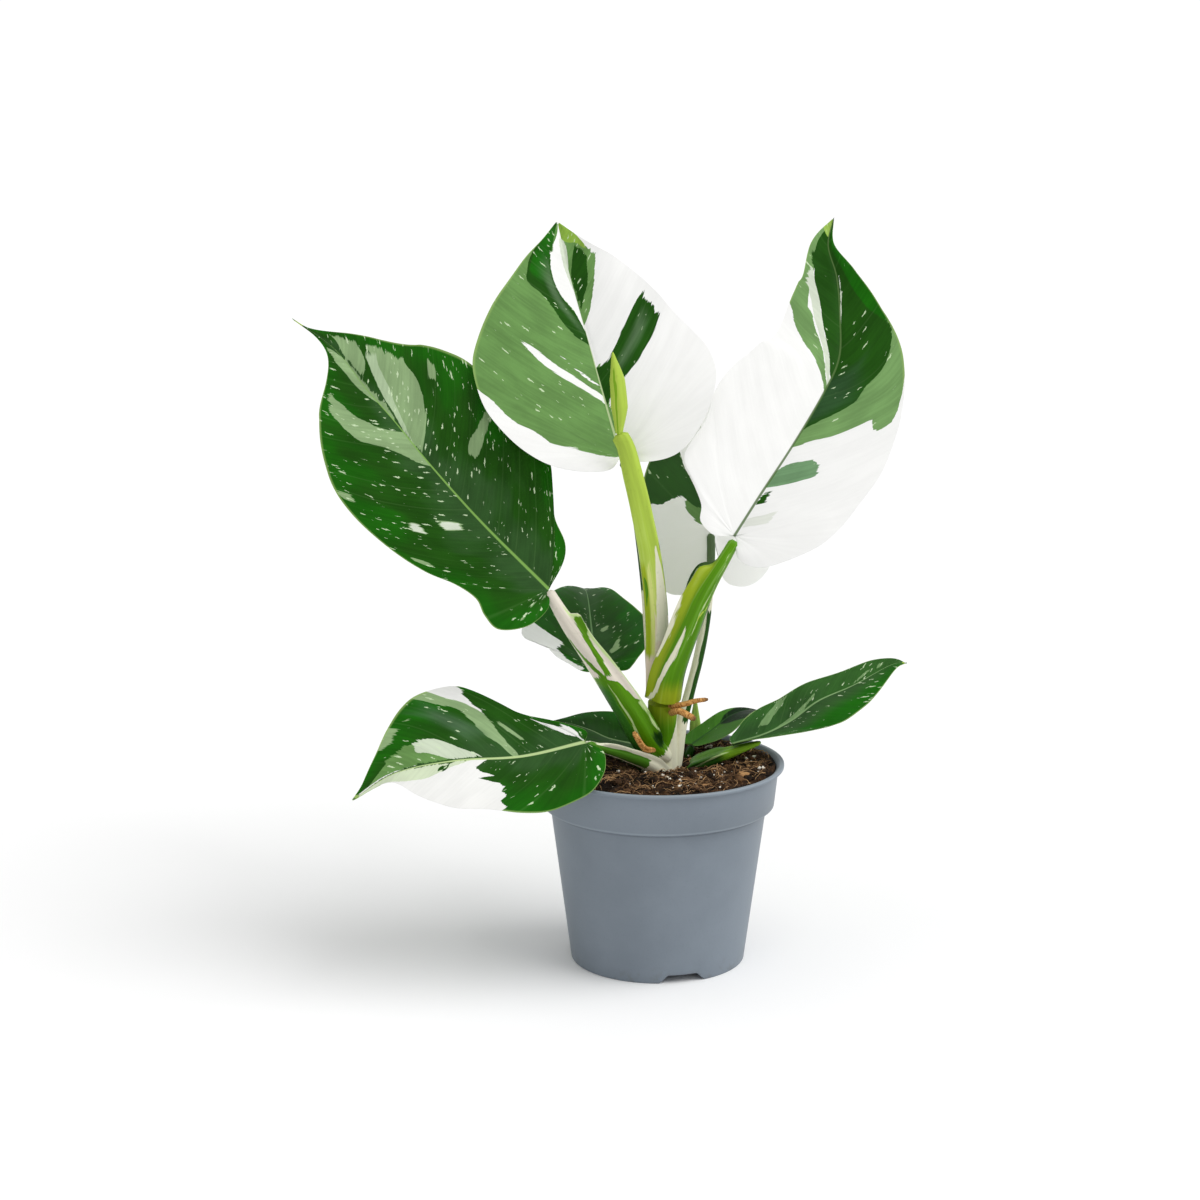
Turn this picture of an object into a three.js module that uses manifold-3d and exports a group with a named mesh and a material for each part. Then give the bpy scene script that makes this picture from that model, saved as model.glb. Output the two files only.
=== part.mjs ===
// Potted white wizard philodendron, in millimetres.
// The origin is the middle of the pot's underside, +Z is up, and the plant's front faces -Y.
import * as THREE from "three";
import { mergeVertices } from "three/addons/utils/BufferGeometryUtils.js";
import Module from "manifold-3d";

const wasm = await Module();
wasm.setup();

// Driving dimensions

const GAP = 0.35; // between pieces that touch on the real plant
const TINY = 0.08; // details smaller than this are left out where one piece is cut by another

const POT = {
  lipRadius: 60,
  height: 96.8,
  lipHeight: 1.6,
  collarTopRadius: 57.4,
  collarFootRadius: 55.4,
  collarFoot: 76.9,
  shoulder: 75.3,
  shoulderRadius: 51.6,
  footRadius: 41.7,
  wall: 1.2,
  floor: 1.5,
  floorLift: 4,
  footWidth: 5,
  padRadius: 12,
  lipWidth: 2,
  edge: 0.5, // how far the lip and the foot are rounded
  draft: 1.2, // how far the risers under the floor lean
  segments: 48,
};

const FOOT_NOTCHES = { count: 3, firstDeg: -74.5, width: 22.6, taper: 4, height: 4, reach: 12 };
const DRAIN_HOLES = { count: 6, radius: 3.5, ring: 25, segments: 12 };
const SOIL = { level: 92.6, lump: 1.1, dip: 5, dipRadius: 30, rings: 6, lowest: 92 };
const DIP_CENTRE = [3, 12];

const BLADE = { thickness: 0.8, lobeRows: 6, bodyRows: 12, columns: 4 };
const VEIN_LEAD = 0.7; // how far a vein runs forward for each millimetre it runs outward
const MARGIN_SAMPLES = 400;
const PINCH_REACH = 45; // how far along the midrib a blade is still drawn together

// A stalk's section. The groove and the wings are shares of its half width, and where they lie
// is in radians from the middle of its upper side.
const STALK = { sides: 10, step: 6, groove: 0.22, grooveWidth: 0.6 };
const WING = { height: 0.3, at: 1, width: 0.35, fade: 0.08 };

const COLOUR = {
  pot: "#77818b",
  soil: "#4f3f28",
  darkGreen: "#2c5a1b",
  midGreen: "#6e964b",
  lime: "#9ebe42",
  white: "#f1f3ee",
  root: "#b9793f",
};

// Each leaf: the midrib runs from the stalk to the tip. face is the way the upper side looks.
// fold is how far each half rises from flat at the midrib, pinch how much further at the stalk,
// and curl how much more it turns by halfWidth, all in degrees, left half first. The outline of
// each half is in millimetres along and away from the midrib, from the notch at the stalk round
// the lobe to the tip.
const LEAVES = [
  {
    name: "left",
    midrib: [[-52, -6, 182], [-84, 10, 211], [-109, 26, 236], [-126, 40, 254],
      [-141, 51, 269], [-157, 62, 287], [-178, 70, 301]],
    face: [-0.08, -0.87, 0.48],
    fold: [8, 8],
    pinch: [4, 4],
    curl: [-10, -10],
    halfWidth: 50,
    left: [[-7, 7], [-7, 20], [1, 31], [11, 31], [20, 28], [32, 30], [46, 36], [64, 41],
      [85, 44], [104, 43], [123, 37], [138, 27], [151, 14], [163, 5], [176, 1]],
    right: [[2, -5], [4, -14], [10, -21], [22, -26], [32, -34], [46, -44], [68, -50],
      [92, -49], [112, -46], [124, -41], [138, -33], [154, -19], [168, -7], [180, -1]],
    colour: COLOUR.darkGreen,
  },
  {
    name: "centre",
    midrib: [[-18, 12, 242], [-24, 25, 261], [-33, 52, 290], [-43, 82, 322], [-49, 98, 346]],
    face: [-0.1, -0.78, 0.62],
    fold: [14, 14],
    pinch: [4, 4],
    curl: [-14, -14],
    halfWidth: 58,
    left: [[-6, 7], [-5, 19], [0, 32], [9, 42], [20, 50], [35, 56], [51, 58], [67, 57],
      [82, 51], [96, 42], [109, 31], [121, 20], [130, 9]],
    right: [[-7, -9], [-10, -22], [-7, -32], [3, -43], [17, -52], [28, -55], [42, -54],
      [55, -49], [68, -43], [79, -39], [93, -33], [109, -24], [121, -14], [131, -6]],
    colour: COLOUR.midGreen,
  },
  {
    name: "right",
    midrib: [[35, -4, 207], [48, 4, 226], [63, 14, 247], [78, 26, 270], [86, 36, 286],
      [87, 48, 305], [86, 57, 322], [82, 62, 337], [85, 66, 350]],
    face: [-0.09, -0.88, 0.45],
    fold: [12, 12],
    pinch: [4, 4],
    curl: [-12, -12],
    halfWidth: 50,
    left: [[-5, 8], [-3, 17], [4, 21], [11, 30], [18, 39], [26, 41], [40, 41], [56, 45],
      [72, 44], [88, 39], [104, 35], [121, 28], [137, 22], [152, 15], [165, 6]],
    right: [[-9, -8], [-9, -18], [-2, -27], [13, -38], [27, -42], [42, -43], [57, -44],
      [72, -42], [88, -38], [101, -32], [116, -25], [132, -17], [148, -8], [161, -3]],
    colour: COLOUR.white,
  },
  {
    name: "low_left",
    midrib: [[-35, -33, 115], [-64, -36, 109], [-95, -40, 108], [-122, -43, 103],
      [-142, -46, 91]],
    face: [-0.07, -0.7, 0.7],
    fold: [8, 4],
    pinch: [4, 4],
    curl: [-10, -14],
    halfWidth: 35,
    left: [[-7, 7], [-7, 15], [-4, 22], [3, 29], [14, 32], [24, 33], [34, 31], [46, 28],
      [62, 26], [73, 21], [82, 15], [92, 4], [102, 1]],
    right: [[-2, -5], [6, -11], [14, -16], [25, -22], [37, -30], [48, -38], [57, -43],
      [67, -42], [75, -39], [81, -33], [87, -24], [94, -13], [104, -4]],
    colour: COLOUR.darkGreen,
  },
  {
    name: "low_right",
    midrib: [[36, 4, 104], [51, 7, 108], [64, 10, 114], [77, 13, 123], [94, 16, 130],
      [112, 20, 139], [120, 21, 140]],
    face: [-0.3, -0.5, 0.82],
    fold: [6, 6],
    pinch: [10, 40],
    curl: [0, 0],
    halfWidth: 25,
    left: [[-1, 3], [4, 7], [11, 12], [21, 15], [33, 15], [45, 14], [56, 12], [71, 10],
      [80, 8], [88, 4]],
    right: [[-2, -4], [2, -9], [10, -11], [19, -11], [30, -14], [42, -20], [52, -22],
      [63, -18], [72, -13], [82, -7]],
    colour: COLOUR.darkGreen,
  },
  {
    name: "back",
    midrib: [[26, 45, 202], [24, 50, 222], [21, 58, 250], [18, 66, 273]],
    face: [0, 0.95, -0.3],
    fold: [6, 6],
    pinch: [4, 4],
    curl: [0, 0],
    halfWidth: 32,
    left: [[-14, 2], [-26, 4], [-30, 11], [-29, 19], [-22, 27], [-8, 33], [10, 34], [28, 30],
      [48, 19], [63, 8]],
    right: [[-14, -2], [-26, -5], [-31, -13], [-29, -25], [-14, -31], [8, -33], [28, -30],
      [48, -19], [63, -8]],
    colour: COLOUR.white,
  },
  {
    name: "back_left",
    midrib: [[-30, 16, 139], [-32, 46, 151], [-34, 76, 160.5], [-36, 98, 160.5],
      [-37, 114, 154]],
    face: [0.1, -0.2, 0.97],
    fold: [6, 6],
    pinch: [4, 4],
    curl: [-10, -10],
    halfWidth: 32,
    left: [[-5, 3], [-5, 8], [-1, 13], [4, 19], [12, 23], [20, 25], [18, 29], [18, 33],
      [25, 35], [36, 32], [50, 26], [63, 19], [78, 12], [92, 6]],
    right: [[-3, -9], [-3, -15], [1, -18], [7, -21], [15, -25], [28, -29], [42, -28],
      [54, -23], [66, -17], [80, -12], [94, -5]],
    colour: COLOUR.darkGreen,
  },
  {
    name: "low_back_left",
    midrib: [[-9, 28, 97], [-23, 36, 98], [-32, 44, 100], [-41, 52, 101], [-51, 60, 101]],
    face: [0, -0.25, 0.97],
    fold: [10, 10],
    pinch: [4, 4],
    curl: [-5, -5],
    halfWidth: 18,
    left: [[-3, 5], [4, 12], [14, 15], [25, 13], [36, 8], [46, 3]],
    right: [[-3, -6], [5, -15], [17, -19], [30, -18], [41, -12], [49, -4]],
    colour: COLOUR.darkGreen,
  },
  {
    name: "low_back_right",
    midrib: [[17, 26, 98], [27, 34, 103], [36, 42, 108], [45, 50, 109], [52, 56, 107]],
    face: [-0.35, -0.35, 0.87],
    fold: [12, 12],
    pinch: [4, 4],
    curl: [-5, -5],
    halfWidth: 18,
    left: [[-2, 4], [4, 7], [14, 7], [24, 6], [36, 4]],
    right: [[-2, -5], [0, -10], [5, -15], [12, -17], [22, -15], [34, -9], [42, -4]],
    colour: COLOUR.darkGreen,
  },
];

// Each stalk: its path from the root up, its full width and depth in millimetres at each point
// of the path, and up, the way its grooved upper side looks. sheath is the share of its length
// that carries wings, from the foot.
const STALKS = [
  {
    name: "stem",
    path: [[3, 12, 80], [2, 9, 101], [2, 5, 126]],
    width: [15, 14.5, 14],
    depth: [15, 14.5, 14],
    up: [0, 1, 0],
    colour: COLOUR.midGreen,
  },
  {
    name: "petiole_right",
    path: [[3, 0, 127], [6, -4, 143], [14, -7, 164], [21, -8, 181], [29, -8, 195],
      [35, -6, 205]],
    width: [16, 16, 14, 13, 9, 5.5],
    depth: [14, 12, 10, 8, 6, 5],
    up: [-0.6, 0.6, 0.4],
    sheath: 0.78,
    colour: COLOUR.lime,
  },
  {
    name: "petiole_left",
    path: [[3, 6, 96], [-6, 0, 107], [-15.5, -4, 124.5], [-29, -7, 146], [-42.5, -8, 165.5],
      [-52, -6, 181]],
    width: [16, 18, 17, 15, 11, 6],
    depth: [10, 12, 11, 9, 7, 5],
    up: [0.6, 0.5, 0.5],
    sheath: 0.7,
    colour: COLOUR.midGreen,
  },
  {
    name: "stalk_new_leaf",
    path: [[-1, 3, 130], [-1, 3, 165], [-4, 3, 194], [-8.6, 3, 218], [-12.6, 3, 235],
      [-15.6, 3, 247], [-19, 2, 254]],
    width: [10, 11, 11, 10, 8, 7, 5],
    depth: [6, 7, 7, 7, 6, 6, 5],
    up: [0, 1, 0],
    colour: COLOUR.lime,
  },
  {
    name: "petiole_centre",
    path: [[-1, 11, 127], [-3, 12, 155], [-5.5, 13, 183], [-9.6, 13, 213], [-14, 13, 233],
      [-17, 13, 240]],
    width: [9, 8, 7, 6.5, 6, 5],
    depth: [7, 7, 7, 6, 6, 5],
    up: [0, -1, 0.3],
    colour: COLOUR.midGreen,
  },
  {
    name: "petiole_back",
    path: [[7, 11, 80], [8, 11, 91], [11, 14, 110], [15, 18, 125], [20, 25, 143], [24, 34, 163],
      [26, 41, 185], [26, 44, 199]],
    width: [7, 7, 5.5, 5, 5, 4.5, 4, 4],
    depth: [6, 6, 5, 5, 5, 4.5, 4, 4],
    up: [0, 1, 0.2],
    colour: COLOUR.white,
  },
  {
    name: "petiole_low_left",
    path: [[2.5, 8, 84.7], [-6, -2, 96], [-18, -13, 104], [-28, -24, 110], [-34.2, -32.2, 114]],
    width: [12, 12, 9, 6, 4.5],
    depth: [8, 8, 6.5, 5, 4],
    up: [0, 0.3, 1],
    sheath: 0.6,
    colour: COLOUR.white,
  },
  {
    name: "petiole_low_right",
    path: [[14, 14, 82], [17, 11, 91], [24, 8, 95], [33, 5, 99.3], [42, 3, 103], [49, 3.5, 105.2]],
    width: [10, 10, 9.5, 8.5, 6, 2.5],
    depth: [6, 6, 6.5, 6, 4, 2],
    up: [-0.3, -0.2, 1],
    colour: COLOUR.midGreen,
  },
  {
    name: "petiole_back_left",
    path: [[0, 14, 85], [-6, 14, 97], [-15, 14, 112], [-22, 16, 126], [-28.5, 16, 137]],
    width: [8, 9, 9, 7, 4.5],
    depth: [6, 7, 7, 5, 4],
    up: [0.3, 0.2, 1],
    colour: COLOUR.midGreen,
  },
  {
    name: "petiole_low_back_left",
    path: [[-3, 23, 82], [-5, 25, 91], [-8, 27, 96]],
    width: [6, 6, 4.5],
    depth: [6, 5, 4],
    up: [0.2, -0.2, 1],
    colour: COLOUR.midGreen,
  },
  {
    name: "petiole_low_back_right",
    path: [[13, 27, 82], [15, 27, 92], [17, 27, 97]],
    width: [6, 6, 4.5],
    depth: [6, 5, 4],
    up: [-0.2, -0.2, 1],
    colour: COLOUR.midGreen,
  },
  {
    name: "side_shoot",
    path: [[19, 41, 82], [19, 41, 98], [19, 41, 109], [19, 41, 116]],
    width: [6, 6, 5, 1.6],
    depth: [5, 5, 4, 1.6],
    up: [0, -1, 0],
    colour: COLOUR.lime,
  },
  {
    name: "root_right_long",
    path: [[5, -1, 124], [12, -8, 127], [17, -10, 129], [23, -11, 130]],
    width: [3, 3, 2.6, 2],
    depth: [3, 3, 2.6, 2],
    up: [0, 0, 1],
    colour: COLOUR.root,
  },
  {
    name: "root_right_short",
    path: [[5.5, -2, 121], [9, -9.5, 124], [13, -12.5, 123], [17, -14, 121]],
    width: [3.4, 3.4, 3.4, 3],
    depth: [3.4, 3.4, 3.4, 3],
    up: [0, 0, 1],
    colour: COLOUR.root,
  },
  {
    name: "root_left",
    path: [[-12, -10.5, 114], [-9, -11, 109], [-6, -9, 105], [-1, -5, 104]],
    width: [2.4, 2.8, 3, 2.6],
    depth: [2.4, 2.8, 3, 2.6],
    up: [0, -1, 0],
    colour: COLOUR.root,
  },
];

// The rolled new leaf: a pointed spindle on the end of its stalk.
const NEW_LEAF = {
  path: [[-19, 2, 255], [-19, 2, 266], [-20, 3, 279], [-22, 4, 292]],
  width: [3, 8, 7, 1],
  depth: [3, 6, 5, 1],
  up: [0, -1, 0],
};

// Vectors, curves and small sums

const vector = (p) => new THREE.Vector3(...p);
const radians = THREE.MathUtils.degToRad;
const lerp = THREE.MathUtils.lerp;
const curveThrough = (points) =>
  new THREE.CatmullRomCurve3(points.map(vector), false, "catmullrom", 0.5);

// One number for each point of a path, read between them at share u of its length.
function valueAlong(values, u) {
  const place = THREE.MathUtils.clamp(u, 0, 1) * (values.length - 1);
  const before = Math.min(Math.floor(place), values.length - 2);
  return lerp(values[before], values[before + 1], place - before);
}

// Solids

function solidFrom(geometry) {
  const bare = new THREE.BufferGeometry();
  bare.setAttribute("position", geometry.getAttribute("position"));
  bare.setIndex(geometry.index);
  const merged = mergeVertices(bare, 1e-4);
  const index = merged.index.array;
  const triangles = [];
  for (let i = 0; i < index.length; i += 3) {
    const [a, b, c] = [index[i], index[i + 1], index[i + 2]];
    if (a !== b && b !== c && c !== a) triangles.push(a, b, c);
  }
  return new wasm.Manifold(
    new wasm.Mesh({
      numProp: 3,
      vertProperties: merged.attributes.position.array,
      triVerts: new Uint32Array(triangles),
    }),
  );
}

function geometryFrom(solid) {
  const mesh = solid.getMesh();
  const geometry = new THREE.BufferGeometry();
  geometry.setAttribute("position", new THREE.BufferAttribute(mesh.vertProperties, 3));
  geometry.setIndex(new THREE.BufferAttribute(mesh.triVerts, 1));
  return geometry;
}

// Cuts each of others out of a solid and keeps the largest body that is left.
function clearOf(solid, others) {
  const cut = others.reduce((left, other) => left.subtract(other), solid);
  const bodies = cut.asOriginal().simplify(TINY).decompose();
  return bodies.reduce((most, body) => (body.volume() > most.volume() ? body : most));
}

// A closed solid from rows of points round a ring, with a fan over each end.
function ringSolid(rings) {
  const positions = [];
  const indices = [];
  const sides = rings[0].length;
  rings.forEach((ring) => ring.forEach((p) => positions.push(p.x, p.y, p.z)));
  for (let i = 0; i < rings.length - 1; i++) {
    for (let j = 0; j < sides; j++) {
      const a = i * sides + j;
      const b = i * sides + ((j + 1) % sides);
      indices.push(a, b, b + sides, a, b + sides, a + sides);
    }
  }
  [0, rings.length - 1].forEach((end) => {
    const middle = rings[end].reduce((sum, p) => sum.add(p), new THREE.Vector3());
    middle.divideScalar(sides);
    positions.push(middle.x, middle.y, middle.z);
    const centre = positions.length / 3 - 1;
    for (let j = 0; j < sides; j++) {
      const a = end * sides + j;
      const b = end * sides + ((j + 1) % sides);
      indices.push(...(end === 0 ? [centre, b, a] : [centre, a, b]));
    }
  });
  const geometry = new THREE.BufferGeometry();
  geometry.setAttribute("position", new THREE.Float32BufferAttribute(positions, 3));
  geometry.setIndex(indices);
  return solidFrom(geometry);
}

// Stalks

// How far the section stands out at an angle from its side, as a share of its half width. The
// upper side has a shallow groove, and the sheath has a wing at each edge of the groove.
function sectionShare(angle, wing) {
  const fromTop = Math.abs(angle - Math.PI / 2);
  const groove = STALK.groove * Math.exp(-((fromTop / STALK.grooveWidth) ** 2));
  const edge = Math.exp(-(((fromTop - WING.at) / WING.width) ** 2));
  return 1 - groove + wing * edge;
}

// How high the wings are at share u of a stalk's length.
function wingHeight(stalk, u) {
  if (!stalk.sheath) return 0;
  return WING.height * (1 - THREE.MathUtils.smoothstep(u, stalk.sheath - WING.fade, stalk.sheath));
}

function stalkSolid(stalk, grow = 0) {
  const curve = curveThrough(stalk.path);
  const length = curve.getLength();
  const steps = Math.max(3, Math.round(length / STALK.step));
  const up = vector(stalk.up).normalize();
  const rings = [];
  for (let i = 0; i <= steps; i++) {
    const u = i / steps;
    const centre = curve.getPointAt(u);
    const along = curve.getTangentAt(u);
    if (i === 0) centre.addScaledVector(along, -grow);
    if (i === steps) centre.addScaledVector(along, grow);
    const side = new THREE.Vector3().crossVectors(up, along).normalize();
    const top = new THREE.Vector3().crossVectors(along, side);
    const halfWidth = valueAlong(stalk.width, u) / 2 + grow;
    const halfDepth = valueAlong(stalk.depth, u) / 2 + grow;
    const wing = wingHeight(stalk, u);
    const ring = [];
    for (let j = 0; j < STALK.sides; j++) {
      const angle = -Math.PI / 2 + (2 * Math.PI * j) / STALK.sides;
      const share = sectionShare(angle, wing);
      ring.push(centre.clone()
        .addScaledVector(side, halfWidth * share * Math.cos(angle))
        .addScaledVector(top, halfDepth * share * Math.sin(angle)));
    }
    rings.push(ring);
  }
  return ringSolid(rings);
}

// Blades

// The place of a blade's mid-surface x along the midrib and y to its left, raised by lift.
function bladeSurface(leaf) {
  const curve = curveThrough(leaf.midrib);
  const length = curve.getLength();
  const face = vector(leaf.face).normalize();
  return (x, y, lift) => {
    const u = THREE.MathUtils.clamp(x / length, 0, 1);
    const along = curve.getTangentAt(u);
    const place = curve.getPointAt(u).addScaledVector(along, x - u * length);
    const up = face.clone().addScaledVector(along, -face.dot(along)).normalize();
    const side = new THREE.Vector3().crossVectors(up, along);
    const half = y < 0 ? 1 : 0;
    const pinch = leaf.pinch[half] * (1 - THREE.MathUtils.smoothstep(x, 0, PINCH_REACH));
    const start = radians(leaf.fold[half] + pinch);
    const turn = radians(leaf.curl[half]) / leaf.halfWidth;
    const away = Math.abs(y);
    const end = start + turn * away;
    const out = turn ? (Math.sin(end) - Math.sin(start)) / turn : away * Math.cos(start);
    const rise = turn ? (Math.cos(start) - Math.cos(end)) / turn : away * Math.sin(start);
    const sign = y < 0 ? -1 : 1;
    const tilt = away > 0 ? end : 0;
    return place
      .addScaledVector(side, sign * (out - lift * Math.sin(tilt)))
      .addScaledVector(up, rise + lift * Math.cos(tilt));
  };
}

// Where the veins of one half meet its margin: first those of the lobe, which all leave the
// midrib at the stalk, then those of the body, each a share further along the midrib.
function veinEnds(outline, length) {
  const curve = curveThrough([[0, 0, 0], ...outline.map((p) => [...p, 0]), [length, 0, 0]]);
  const margin = curve.getSpacedPoints(MARGIN_SAMPLES);
  const origin = (p) => p.x - VEIN_LEAD * Math.abs(p.y);
  const lastBefore = (x) => {
    let last = 0;
    margin.forEach((p, i) => {
      if (origin(p) <= x + 1e-6) last = i;
    });
    return last;
  };
  const lobeEnd = lastBefore(0);
  const rows = [];
  for (let i = 0; i < BLADE.lobeRows; i++) {
    rows.push({ root: 0, end: margin[Math.round((lobeEnd * i) / BLADE.lobeRows)] });
  }
  for (let i = 0; i <= BLADE.bodyRows; i++) {
    const root = (length * i) / BLADE.bodyRows;
    rows.push({ root, end: margin[i < BLADE.bodyRows ? lastBefore(root) : MARGIN_SAMPLES] });
  }
  return rows;
}

function bladeSolid(leaf, grow = 0) {
  const length = curveThrough(leaf.midrib).getLength();
  const at = bladeSurface(leaf);
  const lift = BLADE.thickness / 2 + grow;
  const positions = [];
  const indices = [];
  const triangle = (a, b, c) => {
    [a, b, c].forEach((p) => positions.push(p.x, p.y, p.z));
    indices.push(indices.length, indices.length + 1, indices.length + 2);
  };
  const quad = (a, b, c, d) => {
    triangle(a, b, c);
    triangle(a, c, d);
  };
  [leaf.left, leaf.right].forEach((outline, half) => {
    const rows = veinEnds(outline, length);
    const face = (raise) => rows.map(({ root, end }) => {
      const row = [];
      for (let j = 0; j <= BLADE.columns; j++) {
        const t = j / BLADE.columns;
        row.push(at(lerp(root, end.x, t), end.y * t, raise));
      }
      return row;
    });
    const upper = face(lift);
    const lower = face(-lift);
    const flip = half === 1;
    const panel = (a, b, c, d) => (flip ? quad(d, c, b, a) : quad(a, b, c, d));
    for (let i = 0; i < rows.length - 1; i++) {
      for (let j = 0; j < BLADE.columns; j++) {
        panel(upper[i][j], upper[i + 1][j], upper[i + 1][j + 1], upper[i][j + 1]);
        panel(lower[i][j + 1], lower[i + 1][j + 1], lower[i + 1][j], lower[i][j]);
      }
      const rim = BLADE.columns;
      panel(upper[i][rim], upper[i + 1][rim], lower[i + 1][rim], lower[i][rim]);
    }
  });
  const geometry = new THREE.BufferGeometry();
  geometry.setAttribute("position", new THREE.Float32BufferAttribute(positions, 3));
  geometry.setIndex(indices);
  return solidFrom(geometry);
}

// The pot and what fills it

function lathe(profile) {
  const points = profile.map(([r, z]) => new THREE.Vector2(r, z));
  const geometry = new THREE.LatheGeometry(points, POT.segments);
  return solidFrom(geometry.rotateX(Math.PI / 2));
}

const innerRadius = {
  floor: POT.footRadius - POT.wall,
  shoulder: POT.shoulderRadius - POT.wall,
  collarFoot: POT.collarFootRadius - POT.wall,
  collarTop: POT.collarTopRadius - POT.wall,
};
const floorTop = POT.floorLift + POT.floor;
const collarTop = POT.height - POT.lipHeight;

// The wall steps out under the collar: it turns outward from the body and up into the collar.
function shoulderPoint(share) {
  return [
    lerp(POT.shoulderRadius, POT.collarFootRadius, share),
    lerp(POT.shoulder, POT.collarFoot, share ** 2),
  ];
}

function potSolid() {
  const { lipRadius, lipWidth, height, footRadius, footWidth, padRadius } = POT;
  const { floorLift, floor, draft, edge, wall } = POT;
  const body = lathe([
    [0, 0],
    [padRadius, 0],
    [padRadius + draft, floorLift],
    [footRadius - footWidth - draft, floorLift],
    [footRadius - footWidth, 0],
    [footRadius - edge, 0],
    [footRadius, edge],
    ...[0, 0.25, 0.5, 0.75, 1].map(shoulderPoint),
    [POT.collarTopRadius, collarTop],
    [lipRadius - edge, collarTop],
    [lipRadius, collarTop + edge],
    [lipRadius, height - edge],
    [lipRadius - edge, height],
    [lipRadius - lipWidth + edge, height],
    [lipRadius - lipWidth, height - edge],
    [innerRadius.collarTop, collarTop],
    [innerRadius.collarFoot, POT.collarFoot + wall / 2],
    [innerRadius.shoulder, POT.shoulder + wall / 2],
    [innerRadius.floor, floorTop + edge],
    [innerRadius.floor - edge, floorTop],
    [padRadius, floorTop],
    [padRadius - draft, floor],
    [0, floor],
  ]);
  const cuts = [];
  for (let i = 0; i < FOOT_NOTCHES.count; i++) {
    const { firstDeg, count, width, taper, height: high, reach } = FOOT_NOTCHES;
    const outline = new THREE.Shape([
      new THREE.Vector2(-width / 2, -1),
      new THREE.Vector2(width / 2, -1),
      new THREE.Vector2(width / 2 - taper, high),
      new THREE.Vector2(taper - width / 2, high),
    ]);
    const notch = new THREE.ExtrudeGeometry(outline, { depth: reach, bevelEnabled: false });
    notch.rotateX(Math.PI / 2);
    notch.rotateZ(Math.PI / 2);
    notch.translate(footRadius + draft - reach, 0, 0);
    notch.rotateZ(radians(firstDeg + (360 * i) / count));
    cuts.push(solidFrom(notch));
  }
  for (let i = 0; i < DRAIN_HOLES.count; i++) {
    const { radius, ring, segments, count } = DRAIN_HOLES;
    const hole = new THREE.CylinderGeometry(radius, radius, 4 * floorTop, segments);
    hole.rotateX(Math.PI / 2);
    hole.translate(ring, 0, 0);
    hole.rotateZ(radians((360 * i) / count));
    cuts.push(solidFrom(hole));
  }
  return clearOf(body, cuts);
}

// How high the soil stands: lumps over a shallow dip round the stem.
function soilTop(x, y) {
  const lumps = Math.sin(0.21 * x + 1.3) * Math.cos(0.19 * y) + 0.6 * Math.sin(0.43 * x - 0.37 * y)
    + 0.4 * Math.cos(0.61 * y + 0.5 * x + 2);
  const [dx, dy] = DIP_CENTRE;
  const dip = Math.exp(-((x - dx) ** 2 + (y - dy) ** 2) / SOIL.dipRadius ** 2);
  return SOIL.level + (SOIL.lump * lumps) / 2 - SOIL.dip * (dip - 0.5);
}

function soilSolid(stalks) {
  const upCollar = (SOIL.lowest - POT.collarFoot) / (collarTop - POT.collarFoot);
  const rim = lerp(innerRadius.collarFoot, innerRadius.collarTop, upCollar) - GAP;
  const top = [];
  for (let i = SOIL.rings; i >= 0; i--) top.push([(rim * i) / SOIL.rings, SOIL.level]);
  const profile = [
    [0, POT.floor + GAP],
    [POT.padRadius - POT.draft - GAP, POT.floor + GAP],
    [POT.padRadius - GAP, floorTop + GAP],
    [innerRadius.floor - POT.edge - GAP, floorTop + GAP],
    [innerRadius.floor - GAP, floorTop + POT.edge + GAP],
    [innerRadius.shoulder - GAP, POT.shoulder + POT.wall / 2 + GAP],
    [innerRadius.collarFoot - GAP, POT.collarFoot + POT.wall / 2 + GAP],
    ...top,
  ].map(([r, z]) => new THREE.Vector2(r, z));
  const geometry = new THREE.LatheGeometry(profile, POT.segments).rotateX(Math.PI / 2);
  const position = geometry.getAttribute("position");
  for (let i = 0; i < position.count; i++) {
    if (Math.abs(position.getZ(i) - SOIL.level) < 1e-3) {
      position.setZ(i, soilTop(position.getX(i), position.getY(i)));
    }
  }
  return clearOf(solidFrom(geometry), stalks);
}

// Assembly

const plant = new THREE.Group();

function addPiece(name, solid, colour, roughness) {
  const material = new THREE.MeshStandardMaterial({ color: colour, roughness, metalness: 0 });
  const mesh = new THREE.Mesh(geometryFrom(solid), material);
  mesh.name = name;
  plant.add(mesh);
}

// Each stalk gives way to those before it, and each blade to every stalk.
const grownStalks = [];
for (const stalk of STALKS) {
  const solid = clearOf(stalkSolid(stalk), grownStalks);
  grownStalks.push(stalkSolid(stalk, GAP));
  addPiece(stalk.name, solid, stalk.colour, 0.45);
}

const newLeaf = clearOf(stalkSolid(NEW_LEAF), grownStalks);
grownStalks.push(stalkSolid(NEW_LEAF, GAP));
addPiece("new_leaf", newLeaf, COLOUR.lime, 0.45);

for (const leaf of LEAVES) {
  const solid = clearOf(bladeSolid(leaf), grownStalks);
  addPiece(`blade_${leaf.name}`, solid, leaf.colour, 0.4);
}

addPiece("soil", soilSolid(grownStalks), COLOUR.soil, 0.95);
addPiece("pot", potSolid(), COLOUR.pot, 0.5);

export default plant;
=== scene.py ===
"""Dresses the potted white wizard philodendron: leaf and stalk patterns, soil, pot and studio.

Lengths are in millimetres until a mesh is made, which is in metres. +Z is up, the front is -Y.
"""

import math

import bmesh
import bpy
import numpy as np
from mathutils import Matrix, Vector, noise


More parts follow.
